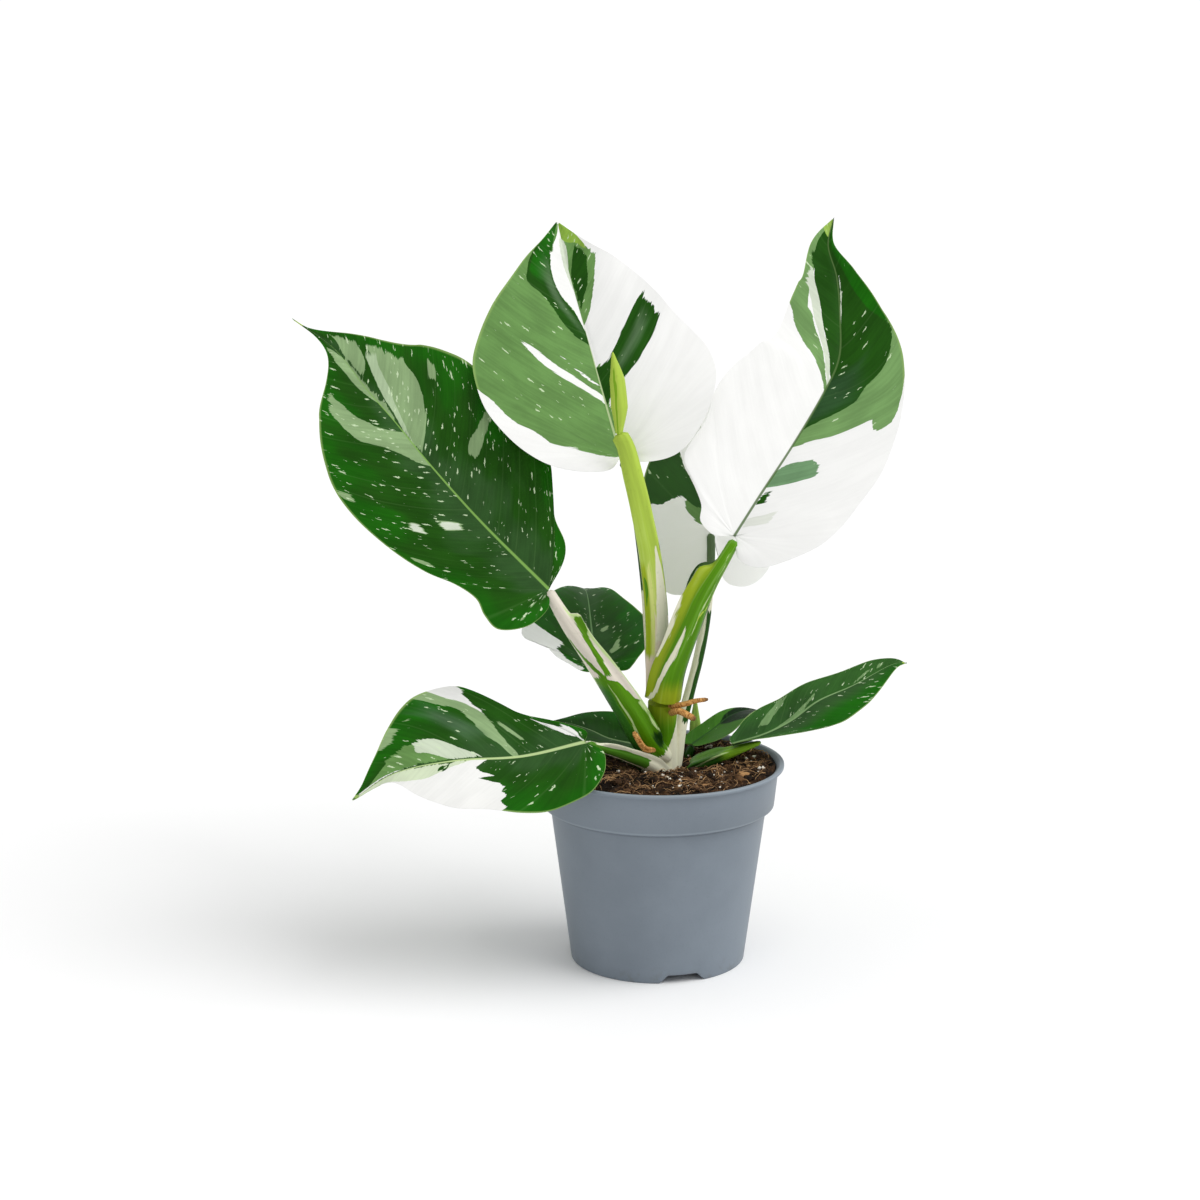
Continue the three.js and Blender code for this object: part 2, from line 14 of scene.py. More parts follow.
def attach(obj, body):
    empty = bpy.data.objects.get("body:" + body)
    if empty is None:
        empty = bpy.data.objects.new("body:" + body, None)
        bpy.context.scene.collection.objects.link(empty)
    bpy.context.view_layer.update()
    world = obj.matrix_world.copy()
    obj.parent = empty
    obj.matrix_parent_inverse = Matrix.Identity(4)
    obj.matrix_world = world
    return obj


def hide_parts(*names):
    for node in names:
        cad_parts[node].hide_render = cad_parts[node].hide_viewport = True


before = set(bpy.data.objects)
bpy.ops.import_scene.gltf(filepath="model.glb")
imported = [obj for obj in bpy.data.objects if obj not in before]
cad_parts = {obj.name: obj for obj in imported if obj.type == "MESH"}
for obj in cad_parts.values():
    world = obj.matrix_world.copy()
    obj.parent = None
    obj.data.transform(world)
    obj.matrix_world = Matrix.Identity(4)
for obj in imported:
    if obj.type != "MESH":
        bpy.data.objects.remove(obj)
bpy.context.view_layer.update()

MM = 0.001
LEFT, RIGHT = 1, -1

# Camera

CAMERA = {"x": -27.874, "y": -1199.864, "z": 431.16, "tilt_down": 0.210, "lens": 78.1}

camera_data = bpy.data.cameras.new("camera")
camera_data.lens = CAMERA["lens"]
camera_data.sensor_width = 36
camera_data.clip_end = 50
camera = bpy.data.objects.new("camera", camera_data)
camera.location = (CAMERA["x"] * MM, CAMERA["y"] * MM, CAMERA["z"] * MM)
camera.rotation_euler = (math.pi / 2 - CAMERA["tilt_down"], 0, 0)
bpy.context.scene.collection.objects.link(camera)
bpy.context.scene.camera = camera

# Colours, as seen on a screen


def screen(r, g, b):
    """A colour given as it looks on a screen, from 0 to 255, as the shader wants it."""
    share = np.array([r, g, b]) / 255
    linear = np.where(share <= 0.04045, share / 12.92, ((share + 0.055) / 1.055) ** 2.4)
    return (*linear.tolist(), 1.0)


DARK = screen(30, 76, 12)
DEEP = screen(20, 58, 8)
# A painted sheen: the grey-green that a soft light's reflection gives dark leaves by the midrib
SHEEN_GREEN = screen(50, 84, 42)
BRIGHT = screen(24, 96, 6)
MID = screen(102, 142, 78)
GREY = screen(138, 166, 118)
PALE = screen(208, 217, 198)
WHITE = screen(241, 241, 239)
CREAM = screen(226, 225, 200)
BLUSH = screen(226, 212, 196)
LIME = screen(166, 192, 72)
OLIVE = screen(142, 162, 30)
GRASS = screen(80, 134, 6)
MINT = screen(190, 214, 148)

# Curves


class Path:
    """A smooth curve through points, read by the length along it."""

    def __init__(self, points):
        through = np.array(points, float)
        ends = np.vstack([2 * through[0] - through[1], through, 2 * through[-1] - through[-2]])
        place = np.linspace(0, len(through) - 1, 60 * (len(through) - 1) + 1)
        first = np.minimum(place.astype(int), len(through) - 2)
        t = (place - first)[:, None]
        a, b, c, d = (ends[first + k] for k in range(4))
        bend = (2 * a - 5 * b + 4 * c - d) * t**2 + (3 * b - a - 3 * c + d) * t**3
        self.points = b + ((c - a) * t + bend) / 2
        steps = np.linalg.norm(np.diff(self.points, axis=0), axis=1)
        self.lengths = np.concatenate([[0], np.cumsum(steps)])
        self.length = self.lengths[-1]
        self.tangents = unit(np.gradient(self.points, axis=0))

    def _read(self, values, s):
        columns = [np.interp(s, self.lengths, values[:, k]) for k in range(values.shape[1])]
        return np.stack(columns, -1)

    def at(self, s):
        return self._read(self.points, s)

    def along(self, s):
        return unit(self._read(self.tangents, s))


def unit(v):
    return v / np.linalg.norm(v, axis=-1, keepdims=True)


def smooth(x, low, high):
    t = np.clip((x - low) / (high - low), 0, 1)
    return t * t * (3 - 2 * t)


def hump(x, width):
    return np.exp(-((x / width) ** 2))


def edge_at(edge, t):
    """Where an edge lies at t. It is one number, or points (t, place) that it runs through."""
    if not isinstance(edge, list):
        return np.full_like(t, edge)
    curve = Path(edge).points
    return np.interp(t, curve[:, 0], curve[:, 1])


# Meshes


def make_piece(name, points, faces, values=None, uvs=None, sharp=math.radians(60)):
    """A mesh object. points in mm, faces as index lists, values and uvs per point, kept per corner.

    Points that lie in one place are joined, but each face keeps the values of its own points.
    """
    keys = np.round(points / 0.004).astype(np.int64)
    _, first, joined = np.unique(keys, axis=0, return_index=True, return_inverse=True)
    joined = joined.reshape(-1)
    kept, corners = [], []
    for face in faces:
        ring = [(int(joined[i]), i) for i in face]
        ring = [pair for k, pair in enumerate(ring) if pair[0] != ring[k - 1][0]]
        if len({pair[0] for pair in ring}) > 2:
            kept.append([pair[0] for pair in ring])
            corners.extend(pair[1] for pair in ring)
    mesh = bpy.data.meshes.new(name)
    mesh.from_pydata((points[first] * MM).tolist(), [], kept)
    corners = np.array(corners)
    for key, value in (uvs or {}).items():
        layer = mesh.uv_layers.new(name=key)
        layer.data.foreach_set("uv", value[corners].astype(np.float32).ravel())
    for key, value in (values or {}).items():
        layer = mesh.attributes.new(key, "FLOAT", "CORNER")
        layer.data.foreach_set("value", value[corners].astype(np.float32))
    mesh.polygons.foreach_set("use_smooth", [True] * len(mesh.polygons))
    mesh.set_sharp_from_angle(angle=sharp)
    mesh.update()
    piece = bpy.data.objects.new(name, mesh)
    bpy.context.scene.collection.objects.link(piece)
    return piece


def settle(piece, material, slot=None, *nodes):
    """Gives a piece its material and its place in the part."""
    piece.data.materials.append(material)
    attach(piece, "root")
    if nodes:
        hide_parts(*nodes)
    return piece


def grid_faces(rows, columns, start=0, wrap=False, flip=False):
    """Four-sided faces over a grid of points that is stored row by row."""
    faces = []
    for i in range(rows - 1):
        for j in range(columns if wrap else columns - 1):
            a = start + i * columns + j
            b = start + i * columns + (j + 1) % columns
            face = [a, b, b + columns, a + columns]
            faces.append(face[::-1] if flip else face)
    return faces


# Materials


class Shader:
    """A material that is built node by node. Any input may be a socket or a plain value."""

    def __init__(self, name):
        self.material = bpy.data.materials.new(name)
        self.material.use_nodes = True
        self.tree = self.material.node_tree
        self.tree.nodes.clear()
        self.output = self.node("ShaderNodeOutputMaterial")

    def node(self, kind, settings=None, **inputs):
        made = self.tree.nodes.new(kind)
        for key, value in (settings or {}).items():
            setattr(made, key, value)
        for key, value in inputs.items():
            self.feed(made.inputs[key.replace("_", " ")], value)
        return made

    def feed(self, socket, value):
        if isinstance(value, bpy.types.NodeSocket):
            self.tree.links.new(value, socket)
        else:
            socket.default_value = value

    def sum(self, operation, a, b=0.0, c=0.0):
        made = self.tree.nodes.new("ShaderNodeMath")
        made.operation = operation
        for socket, value in zip(made.inputs, (a, b, c)):
            self.feed(socket, value)
        return made.outputs[0]

    def stretched(self, vector, scale):
        made = self.tree.nodes.new("ShaderNodeVectorMath")
        made.operation = "MULTIPLY"
        self.feed(made.inputs[0], vector)
        self.feed(made.inputs[1], scale)
        return made.outputs[0]

    def noise(self, vector, scale=1.0, detail=2.0, roughness=0.5):
        made = self.node(
            "ShaderNodeTexNoise", Vector=vector, Scale=scale, Detail=detail, Roughness=roughness
        )
        return made.outputs["Fac"]

    def range(self, value, low, high, to_low=0.0, to_high=1.0, kind="SMOOTHSTEP"):
        made = self.tree.nodes.new("ShaderNodeMapRange")
        made.interpolation_type = kind
        for socket, given in zip(made.inputs, (value, low, high, to_low, to_high)):
            self.feed(socket, given)
        return made.outputs[0]

    def mix(self, share, a, b):
        made = self.tree.nodes.new("ShaderNodeMix")
        made.data_type = "RGBA"
        self.feed(made.inputs[0], share)
        self.feed(made.inputs[6], a)
        self.feed(made.inputs[7], b)
        return made.outputs[2]

    def bump(self, height, distance, normal=None):
        made = self.node("ShaderNodeBump", Height=height, Distance=distance, Strength=1.0)
        if normal:
            self.feed(made.inputs["Normal"], normal)
        return made.outputs[0]

    def uv(self, name):
        return self.node("ShaderNodeUVMap", {"uv_map": name}).outputs[0]

    def parts(self, vector):
        return self.node("ShaderNodeSeparateXYZ", Vector=vector).outputs

    def value(self, name):
        return self.node("ShaderNodeAttribute", {"attribute_name": name}).outputs["Fac"]

    def place(self):
        return self.node("ShaderNodeTexCoord").outputs["Object"]

    def finish(self, colour, roughness, normal, specular=0.5, **more):
        surface = self.node(
            "ShaderNodeBsdfPrincipled",
            Base_Color=colour,
            Roughness=roughness,
            Normal=normal,
            Specular_IOR_Level=specular,
            **more,
        )
        self.feed(self.output.inputs["Surface"], surface.outputs[0])
        return self.material


# Blades

BLADE = {
    "vein_lead": 1.15,  # how far a vein runs forward for each millimetre it runs outward
    "vein_bow": 0.35,
    "pinch_reach": 45,
    "half_thickness": 0.26,
    "rim_share": 0.5,
    "step": 1.6,
    "columns": 28,
    "vein_spacing": 12.0,
    "usual_half_width": 50,  # of the blades that RELIEF is given for
}

# What stands out of a blade's smooth surface, in mm
RELIEF = {
    "quilt": 0.04, "vein": 0.05, "vein_width": 1.4,  # between the lateral veins, and over each
    "ripple": 0.6, "ripple_length": 9.5,  # along the margin
    "sway": 0.4, "sway_length": 26,  # over the whole blade
    "groove": 0.3, "groove_width": 1.2,  # over the midrib
    "ridge": 1.15, "ridge_width": 1.7,  # under the midrib
}

# face is the way a blade's upper side looks. fold, pinch and curl are angles in degrees, for the
# left half and the right half: how far it folds up along the midrib, how much more by the stalk,
# and how far it bends up over half_width. An outline gives places in mm, along the midrib from
# the stalk and to the left of it.

LEAVES = {
    "left": {
        "midrib": [
            [-52, -6, 182], [-84, 10, 211], [-109, 26, 236], [-126, 40, 254],
            [-141, 51, 269], [-157, 62, 287], [-178, 70, 301],
        ],
        "face": [-0.08, -0.87, 0.48],
        "fold": [8, 8], "pinch": [4, 4], "curl": [-10, -10], "half_width": 50,
        "outlines": {
            LEFT: [
                [-7, 7], [-7, 20], [1, 31], [11, 31], [20, 28], [32, 30], [46, 36], [64, 41],
                [85, 44], [104, 43], [123, 37], [138, 27], [151, 14], [163, 5], [176, 1],
            ],
            RIGHT: [
                [2, -5], [4, -14], [10, -21], [22, -26], [32, -34], [46, -44], [68, -50],
                [92, -49], [112, -46], [124, -41], [138, -33], [154, -19], [168, -7], [180, -1],
            ],
        },
    },
    "centre": {
        "midrib": [[-18, 12, 242], [-24, 25, 261], [-33, 52, 290], [-43, 82, 322], [-49, 98, 346]],
        "face": [-0.1, -0.78, 0.62],
        "fold": [14, 14], "pinch": [4, 4], "curl": [-14, -14], "half_width": 58,
        "outlines": {
            LEFT: [
                [-6, 7], [-5, 19], [0, 32], [9, 42], [20, 50], [35, 56], [51, 58], [67, 57],
                [82, 51], [96, 42], [109, 31], [121, 20], [130, 9],
            ],
            RIGHT: [
                [-7, -9], [-10, -22], [-7, -32], [3, -43], [17, -52], [28, -55], [42, -54],
                [55, -49], [68, -43], [79, -39], [93, -33], [109, -24], [121, -14], [131, -6],
            ],
        },
    },
    "right": {
        "midrib": [
            [35, -4, 207], [48, 4, 226], [63, 14, 247], [78, 26, 270], [86, 36, 286],
            [87, 48, 305], [86, 57, 322], [82, 62, 337], [85, 66, 350],
        ],
        "face": [-0.09, -0.88, 0.45],
        "fold": [12, 12], "pinch": [4, 4], "curl": [-12, -12], "half_width": 50,
        "outlines": {
            LEFT: [
                [-5, 8], [-3, 17], [4, 21], [11, 30], [18, 39], [26, 41], [40, 41], [56, 45],
                [72, 44], [88, 39], [104, 35], [121, 28], [137, 22], [152, 15], [165, 6],
            ],
            RIGHT: [
                [-9, -8], [-9, -18], [-2, -27], [13, -38], [27, -42], [42, -43], [57, -44],
                [72, -42], [88, -38], [101, -32], [116, -25], [132, -17], [148, -8], [161, -3],
            ],
        },
    },
    "low_left": {
        "midrib": [
            [-35, -33, 115], [-64, -36, 109], [-95, -40, 108], [-122, -43, 103], [-142, -46, 91],
        ],
        "face": [-0.07, -0.7, 0.7],
        "fold": [8, 4], "pinch": [4, 4], "curl": [-10, -14], "half_width": 35,
        "outlines": {
            LEFT: [
                [-7, 7], [-7, 15], [-4, 22], [3, 29], [14, 32], [24, 33], [34, 31], [46, 28],
                [62, 26], [73, 21], [82, 15], [92, 4], [102, 1],
            ],
            RIGHT: [
                [-2, -5], [6, -11], [14, -16], [25, -22], [37, -30], [48, -38], [57, -43],
                [67, -42], [75, -39], [81, -33], [87, -24], [94, -13], [104, -4],
            ],
        },
    },
    "low_right": {
        "midrib": [
            [36, 4, 104], [51, 7, 108], [64, 10, 114], [77, 13, 123], [94, 16, 130],
            [112, 20, 139], [120, 21, 140],
        ],
        "face": [-0.3, -0.5, 0.82],
        "fold": [6, 6], "pinch": [10, 40], "curl": [0, 0], "half_width": 25,
        "outlines": {
            LEFT: [
                [-1, 3], [4, 7], [11, 12], [21, 15], [33, 15], [45, 14], [56, 12], [71, 10],
                [80, 8], [88, 4],
            ],
            RIGHT: [
                [-2, -4], [2, -9], [10, -11], [19, -11], [30, -14], [42, -20], [52, -22],
                [63, -18], [72, -13], [82, -7],
            ],
        },
    },
    "back": {
        "midrib": [[26, 45, 202], [24, 50, 222], [21, 58, 250], [18, 66, 273]],
        "face": [0, 0.95, -0.3],
        "fold": [6, 6], "pinch": [4, 4], "curl": [0, 0], "half_width": 32,
        "outlines": {
            LEFT: [
                [-14, 2], [-26, 4], [-30, 11], [-29, 19], [-22, 27], [-8, 33], [10, 34],
                [28, 30], [48, 19], [63, 8],
            ],
            RIGHT: [
                [-14, -2], [-26, -5], [-31, -13], [-29, -25], [-14, -31], [8, -33], [28, -30],
                [48, -19], [63, -8],
            ],
        },
    },
    "back_left": {
        "midrib": [[-30, 16, 139], [-32, 46, 151], [-34, 76, 160.5], [-36, 98, 160.5], [-37, 114, 154]],
        "face": [0.1, -0.2, 0.97],
        "fold": [6, 6], "pinch": [4, 4], "curl": [-10, -10], "half_width": 32,
        "outlines": {
            LEFT: [
                [-5, 3], [-5, 8], [-1, 13], [4, 19], [12, 23], [20, 25], [18, 29], [18, 33],
                [25, 35], [36, 32], [50, 26], [63, 19], [78, 12], [92, 6],
            ],
            RIGHT: [
                [-3, -9], [-3, -15], [1, -18], [7, -21], [15, -25], [28, -29], [42, -28],
                [54, -23], [66, -17], [80, -12], [94, -5],
            ],
        },
    },
    "low_back_left": {
        "midrib": [[-9, 28, 97], [-23, 36, 98], [-32, 44, 100], [-41, 52, 101], [-51, 60, 101]],
        "face": [0, -0.25, 0.97],
        "fold": [10, 10], "pinch": [4, 4], "curl": [-5, -5], "half_width": 18,
        "outlines": {
            LEFT: [[-3, 5], [4, 12], [14, 15], [25, 13], [36, 8], [46, 3]],
            RIGHT: [[-3, -6], [5, -15], [17, -19], [30, -18], [41, -12], [49, -4]],
        },
    },
    "low_back_right": {
        "midrib": [[17, 26, 98], [27, 34, 103], [36, 42, 108], [45, 50, 109], [52, 56, 107]],
        "face": [-0.35, -0.35, 0.87],
        "fold": [12, 12], "pinch": [4, 4], "curl": [-5, -5], "half_width": 18,
        "outlines": {
            LEFT: [[-2, 4], [4, 7], [14, 7], [24, 6], [36, 4]],
            RIGHT: [[-2, -5], [0, -10], [5, -15], [12, -17], [22, -15], [34, -9], [42, -4]],
        },
    },
}

# The colours of a blade are painted one over the other. A streak lies on one half between two
# edges. An edge is a place v, from -1 at the notch through 0 to 1 at the tip, or points (t, v),
# where t runs from 0 at the midrib to 1 at the margin. near and far are its ends in t.


FAR_INSIDE = 9  # mm: a streak's depth counts no further than this, either way


def streak(half, low, high, near=-0.2, far=1.2):
    return {"half": half, "low": low, "high": high, "near": near, "far": far}


def whole(half):
    return streak(half, -1.4, 1.4)


LOOKS = {
    "left": {
        "slot": "leaf_green", "base": DARK, "flecks": 1.0, "midrib": (screen(132, 176, 88), 0.9, 0.9),
        "layers": [
            (GREY, [
                streak(LEFT, [(0, 0.44), (0.1, 0.45), (0.3, 0.49), (0.6, 0.51), (0.8, 0.57), (0.9, 0.6)],
                       [(0, 0.56), (0.2, 0.57), (0.5, 0.6), (0.7, 0.64), (0.9, 0.67)], far=0.87),
                streak(LEFT, [(0, 0.665), (0.2, 0.715), (0.4, 0.77), (0.6, 0.8), (0.8, 0.83)],
                       [(0, 0.83), (0.3, 0.85), (0.8, 0.87)], far=0.75),
                streak(LEFT, [(0.75, 0.055), (1, 0.06)], [(0.75, 0.07), (1, 0.075)], 0.8, 0.9),
                streak(LEFT, 0.19, 0.225, 0.52, 0.62),
                streak(LEFT, 0.213, 0.24, 0.18, 0.34),
                streak(LEFT, 0.25, 0.275, 0.9, 0.98),
                streak(LEFT, -0.62, -0.58, 0.7, 0.82),
                streak(LEFT, -0.58, -0.55, 0.33, 0.43),
                streak(RIGHT, [(0, 0.48), (0.3, 0.49), (0.6, 0.52), (0.8, 0.59)],
                       [(0, 0.55), (0.2, 0.62), (0.4, 0.67), (0.7, 0.72), (0.8, 0.74)], 0.02, 0.84),
                streak(RIGHT, [(0, 0.745), (0.5, 0.745), (0.8, 0.78)],
                       [(0, 0.82), (0.5, 0.85), (0.8, 0.875)], 0.15, 0.83),
                streak(RIGHT, 0.6, 0.82, -0.2, 0.08),
                streak(RIGHT, [(0.3, 0.31), (0.5, 0.27), (0.8, 0.228)],
                       [(0.3, 0.325), (0.5, 0.315), (0.7, 0.27), (0.8, 0.25)], 0.4, 0.8),
                streak(RIGHT, 0.46, 0.485, 0.74, 0.86),
            ]),
            (screen(172, 194, 156), [
                streak(RIGHT, [(0, 0.515), (0.16, 0.59), (0.35, 0.635), (0.57, 0.685), (0.67, 0.7)],
                       [(0, 0.56), (0.16, 0.65), (0.35, 0.7), (0.57, 0.74), (0.67, 0.745)], 0.0, 0.7),
            ], 0.4),
            (PALE, [streak(LEFT, 0.192, 0.222, 0.53, 0.61), streak(LEFT, 0.216, 0.238, 0.2, 0.33)]),
            (LIME, [streak(LEFT, 0.965, 1.4), streak(RIGHT, 0.965, 1.4)]),
        ],
    },
    "centre": {
        "slot": "leaf_half_white", "base": WHITE, "flecks": 0.4, "midrib": (screen(190, 208, 158), 0.8, 0.6),
        "layers": [
            (MID, [
                whole(LEFT),
                streak(RIGHT, 0.08, 0.36, -0.2, 0.05),
                streak(RIGHT, [(0, 0.55), (0.2, 0.57), (0.4, 0.615), (0.6, 0.65), (0.85, 0.7)],
                       1.4, -0.2, 0.86),
                streak(RIGHT, [(0.6, 0.7), (0.82, 0.72), (0.9, 0.8), (1, 0.88)], 1.4, 0.6),
            ]),
            (WHITE, [
                streak(LEFT, -1.4, [(0, -1), (0.1, -0.8), (0.2, -0.55), (0.4, -0.39), (0.6, -0.38),
                                    (0.66, -0.3), (0.8, -0.27), (0.9, -0.18), (1, -0.14)]),
                streak(LEFT, [(0, 0.2), (0.1, 0.22), (0.5, 0.24), (0.7, 0.285)],
                       [(0, 0.235), (0.1, 0.25), (0.5, 0.283), (0.7, 0.292)], far=0.72),
                streak(LEFT, [(0, 0.265), (0.35, 0.325)], [(0, 0.28), (0.35, 0.335)], far=0.35),
            ]),
            (DARK, [
                streak(LEFT, [(0, 0.46), (0.2, 0.48), (0.4, 0.55), (0.6, 0.6), (0.82, 0.615),
                              (0.9, 0.68), (1, 0.8)],
                       [(0, 0.52), (0.1, 0.6), (0.3, 0.65), (0.5, 0.75), (0.6, 0.86), (0.7, 1.3), (1, 1.3)]),
                streak(RIGHT, [(0, 0.2), (0.2, 0.205), (0.6, 0.18), (0.92, 0.185)],
                       [(0, 0.36), (0.1, 0.335), (0.3, 0.335), (0.6, 0.355), (0.8, 0.355), (0.92, 0.335)],
                       far=0.895),
                streak(RIGHT, [(0, 0.6), (0.2, 0.64), (0.4, 0.67), (0.6, 0.72), (0.75, 0.75)],
                       [(0, 0.76), (0.2, 0.8), (0.4, 0.83), (0.75, 0.85)], 0.03, 0.74),
            ]),
            (BRIGHT, [
                streak(LEFT, [(0.5, 0.66), (0.82, 0.66), (0.9, 0.73), (1, 0.84)], 0.95, 0.6),
            ], 1.5),
            # A painted sheen over the dark streaks on both halves
            (screen(84, 114, 76), [
                streak(RIGHT, [(0.2, 0.25), (0.8, 0.24)], [(0.2, 0.28), (0.8, 0.3)], 0.3, 0.75),
                streak(LEFT, [(0, 0.5), (0.3, 0.58), (0.6, 0.68)],
                       [(0, 0.52), (0.3, 0.63), (0.6, 0.78)], 0.1, 0.6),
            ], 2.5),
            (WHITE, [
                streak(LEFT, [(0, 0.52), (0.1, 0.6), (0.3, 0.65), (0.5, 0.75), (0.6, 0.82)],
                       [(0, 1), (0.2, 0.98), (0.4, 0.94), (0.6, 0.88)], far=0.6),
            ]),
            (PALE, [
                streak(LEFT, [(0, 0.7), (0.25, 0.88)], 0.93, far=0.25),
                streak(RIGHT, [(0, 0.8), (0.25, 0.88)], 0.93, far=0.25),
            ]),
            (screen(134, 170, 66), [
                streak(RIGHT, [(0, 0.93), (0.5, 0.88), (0.76, 0.84), (0.84, 0.77), (0.92, 0.8), (1, 0.88)],
                       1.4),
            ]),
        ],
    },
    "right": {
        "slot": "leaf_white", "base": WHITE, "flecks": 0.25, "midrib": (screen(84, 112, 62), 0.85, 1.6),
        "layers": [
            (screen(114, 152, 92), [
                streak(LEFT, [(0, 0.47), (0.2, 0.49), (0.5, 0.505), (0.8, 0.545), (1, 0.6)],
                       [(0, 0.49), (0.2, 0.52), (0.4, 0.575), (0.6, 0.635), (0.76, 0.71), (0.82, 1.2),
                        (1, 1.2)]),
                streak(LEFT, 0.9, 1.4),
                streak(RIGHT, [(0, 0.29), (0.4, 0.295), (0.74, 0.285), (0.79, 0.24), (0.9, 0.225),
                               (0.95, 0.25), (1, 0.35)], 1.4),
            ]),
            (screen(112, 150, 108), [
                streak(RIGHT, 0.155, [(0, 0.21), (0.1, 0.23), (0.3, 0.225), (0.42, 0.19)], far=0.42),
            ]),
            (screen(224, 227, 218), [streak(RIGHT, 0.02, 0.055, 0.02, 0.27)]),
            (DARK, [
                streak(LEFT, [(0, 0.51), (0.1, 0.53), (0.3, 0.6), (0.5, 0.7), (0.7, 0.76), (0.8, 0.82)],
                       [(0, 1.1), (0.7, 0.95), (0.8, 0.86)], far=0.86),
                streak(RIGHT, [(0, 0.35), (0.2, 0.37), (0.5, 0.39), (0.6, 0.43), (0.8, 0.445), (1, 0.5)],
                       1.4, far=0.97),
                streak(RIGHT, 0.1, 0.14, 0.02, 0.1),
            ]),
            # A painted sheen over the dark near the midrib
            (screen(44, 78, 42), [streak(RIGHT, [(0, 0.37), (0.4, 0.4)], 0.52, far=0.45)], 3),
            (BRIGHT, [streak(RIGHT, [(0.4, 0.92), (0.6, 0.78), (0.8, 0.64), (1, 0.52)], 1.4, 0.4)], 1.6),
            (PALE, [
                streak(LEFT, [(0, 0.49), (0.2, 0.525), (0.4, 0.585), (0.6, 0.65), (0.8, 0.72)],
                       [(0, 0.51), (0.1, 0.53), (0.3, 0.6), (0.5, 0.7), (0.7, 0.76), (0.8, 0.81)],
                       far=0.86),
                streak(RIGHT, [(0.02, 0.67), (0.13, 0.765)], [(0.02, 0.73), (0.13, 0.83)], 0.0, 0.16),
            ]),
            (screen(150, 184, 84), [streak(LEFT, 0.94, 1.4)]),
        ],
    },
    "low_left": {
        "slot": "leaf_green", "base": DARK, "flecks": 0.75, "midrib": (screen(190, 212, 150), 1.1, 1.0),
        "layers": [
            # Painted shade: the white is a little darker than on the other blades, to take off the extra
            # light on this upturned leaf
            (screen(232, 232, 229), [
                streak(LEFT, [(0, 0.41), (0.22, 0.425), (0.32, 0.38), (0.39, 0.31), (0.46, 0.36),
                              (0.53, 0.25), (0.6, 0.21), (0.68, 0.2), (0.76, 0.15), (0.86, 0.14),
                              (0.93, 0.08), (1, 0.07)], 1.4),
                streak(RIGHT, [(0.6, 0.2), (0.7, 0.18), (0.8, 0.15), (0.9, 0.11), (1, 0.07)],
                       0.215, 0.6),
                streak(RIGHT, [(0, -0.78), (0.26, -0.52), (0.58, -0.62), (1, -0.5)],
                       [(0, -0.1), (0.2, 0.02), (0.45, 0.03), (0.55, 0.01), (0.6, -0.35), (1, -0.45)],
                       0.06, 0.8),
            ]),
            (GREY, [
                streak(RIGHT, [(0, 0.275), (0.2, 0.26), (0.35, 0.24), (0.5, 0.215), (0.65, 0.2), (1, 0.2)],
                       [(0, 0.295), (0.26, 0.31), (0.35, 0.31), (0.5, 0.29), (0.7, 0.265), (1, 0.285)], 0.03),
                streak(RIGHT, 0.182, [(0.2, 0.195), (0.45, 0.212)], 0.22, 0.47),
                streak(RIGHT, [(0.84, 0.4), (0.94, 0.46)], [(0.84, 0.43), (0.94, 0.49)], 0.84, 0.94),
                streak(RIGHT, 0.52, 0.68, 0.9),
            ]),
            (MID, [
                streak(RIGHT, [(0, 0.5), (0.3, 0.54), (0.5, 0.55), (0.65, 0.62)],
                       [(0, 0.96), (0.33, 0.9), (0.5, 0.83), (0.64, 0.75)], 0.05, 0.67),
            ]),
            (screen(196, 208, 184), [
                streak(RIGHT, [(0, 0.4), (0.2, 0.465), (0.47, 0.505), (0.6, 0.55)],
                       [(0, 0.53), (0.1, 0.565), (0.3, 0.605), (0.42, 0.63), (0.6, 0.6)], 0.03, 0.6),
            ]),
            # A painted sheen across the dark
            (screen(72, 104, 70), [streak(RIGHT, 0.32, 0.39, 0.4, 0.85)], 3),
            (screen(204, 216, 186), [
                streak(LEFT, [(0, 0.47), (0.12, 0.5), (0.23, 0.54), (0.56, 0.61), (0.94, 0.77), (1, 0.85)],
                       1.4),
            ]),
            (screen(226, 229, 222), [
                streak(RIGHT, [(0.06, 0.67), (0.12, 0.8), (0.25, 0.9), (0.4, 0.95)], 0.97, 0.07, 0.4),
            ]),
            (DARK, [
                streak(LEFT, [(0, 0.46), (0.05, 0.5)], 0.93, far=0.05),
                streak(LEFT, 0.55, 0.59, 0.16, 0.3),
                streak(RIGHT, 0.42, 0.94, far=0.03),
            ]),
            (screen(142, 172, 92), [streak(LEFT, 0.965, 1.4), streak(RIGHT, 0.965, 1.4)]),
        ],
    },
    "low_right": {
        "slot": "leaf_green", "base": screen(52, 96, 40), "flecks": 1.5,
        "midrib": (screen(132, 166, 112), 1.1, 1.0),
        "layers": [
            (BRIGHT, [streak(RIGHT, 0.2, 0.95, 0.5)], 2.5),
            # A painted sheen near the midrib on both halves
            (SHEEN_GREEN, [streak(RIGHT, -0.2, 0.8, far=0.4), streak(LEFT, 0, 0.5, 0.1, 0.5)], 3),
            (screen(118, 152, 100), [
                streak(LEFT, [(0.25, 0.1), (0.6, 0.12), (1, 0.17)], [(0.25, 0.16), (0.6, 0.2), (1, 0.25)],
                       0.3, 0.96),
                streak(LEFT, [(0, 0.14), (0.12, 0.3), (0.3, 0.43)], [(0, 0.4), (0.12, 0.42), (0.3, 0.455)],
                       far=0.34),
                streak(LEFT, [(0.1, 0.68), (0.5, 0.76)], [(0.1, 0.72), (0.5, 0.8)], 0.12, 0.5),
                streak(LEFT, 0.82, 0.86, 0.3, 0.7),
            ]),
            (LIME, [streak(LEFT, 0.97, 1.4), streak(RIGHT, 0.97, 1.4)]),
        ],
    },
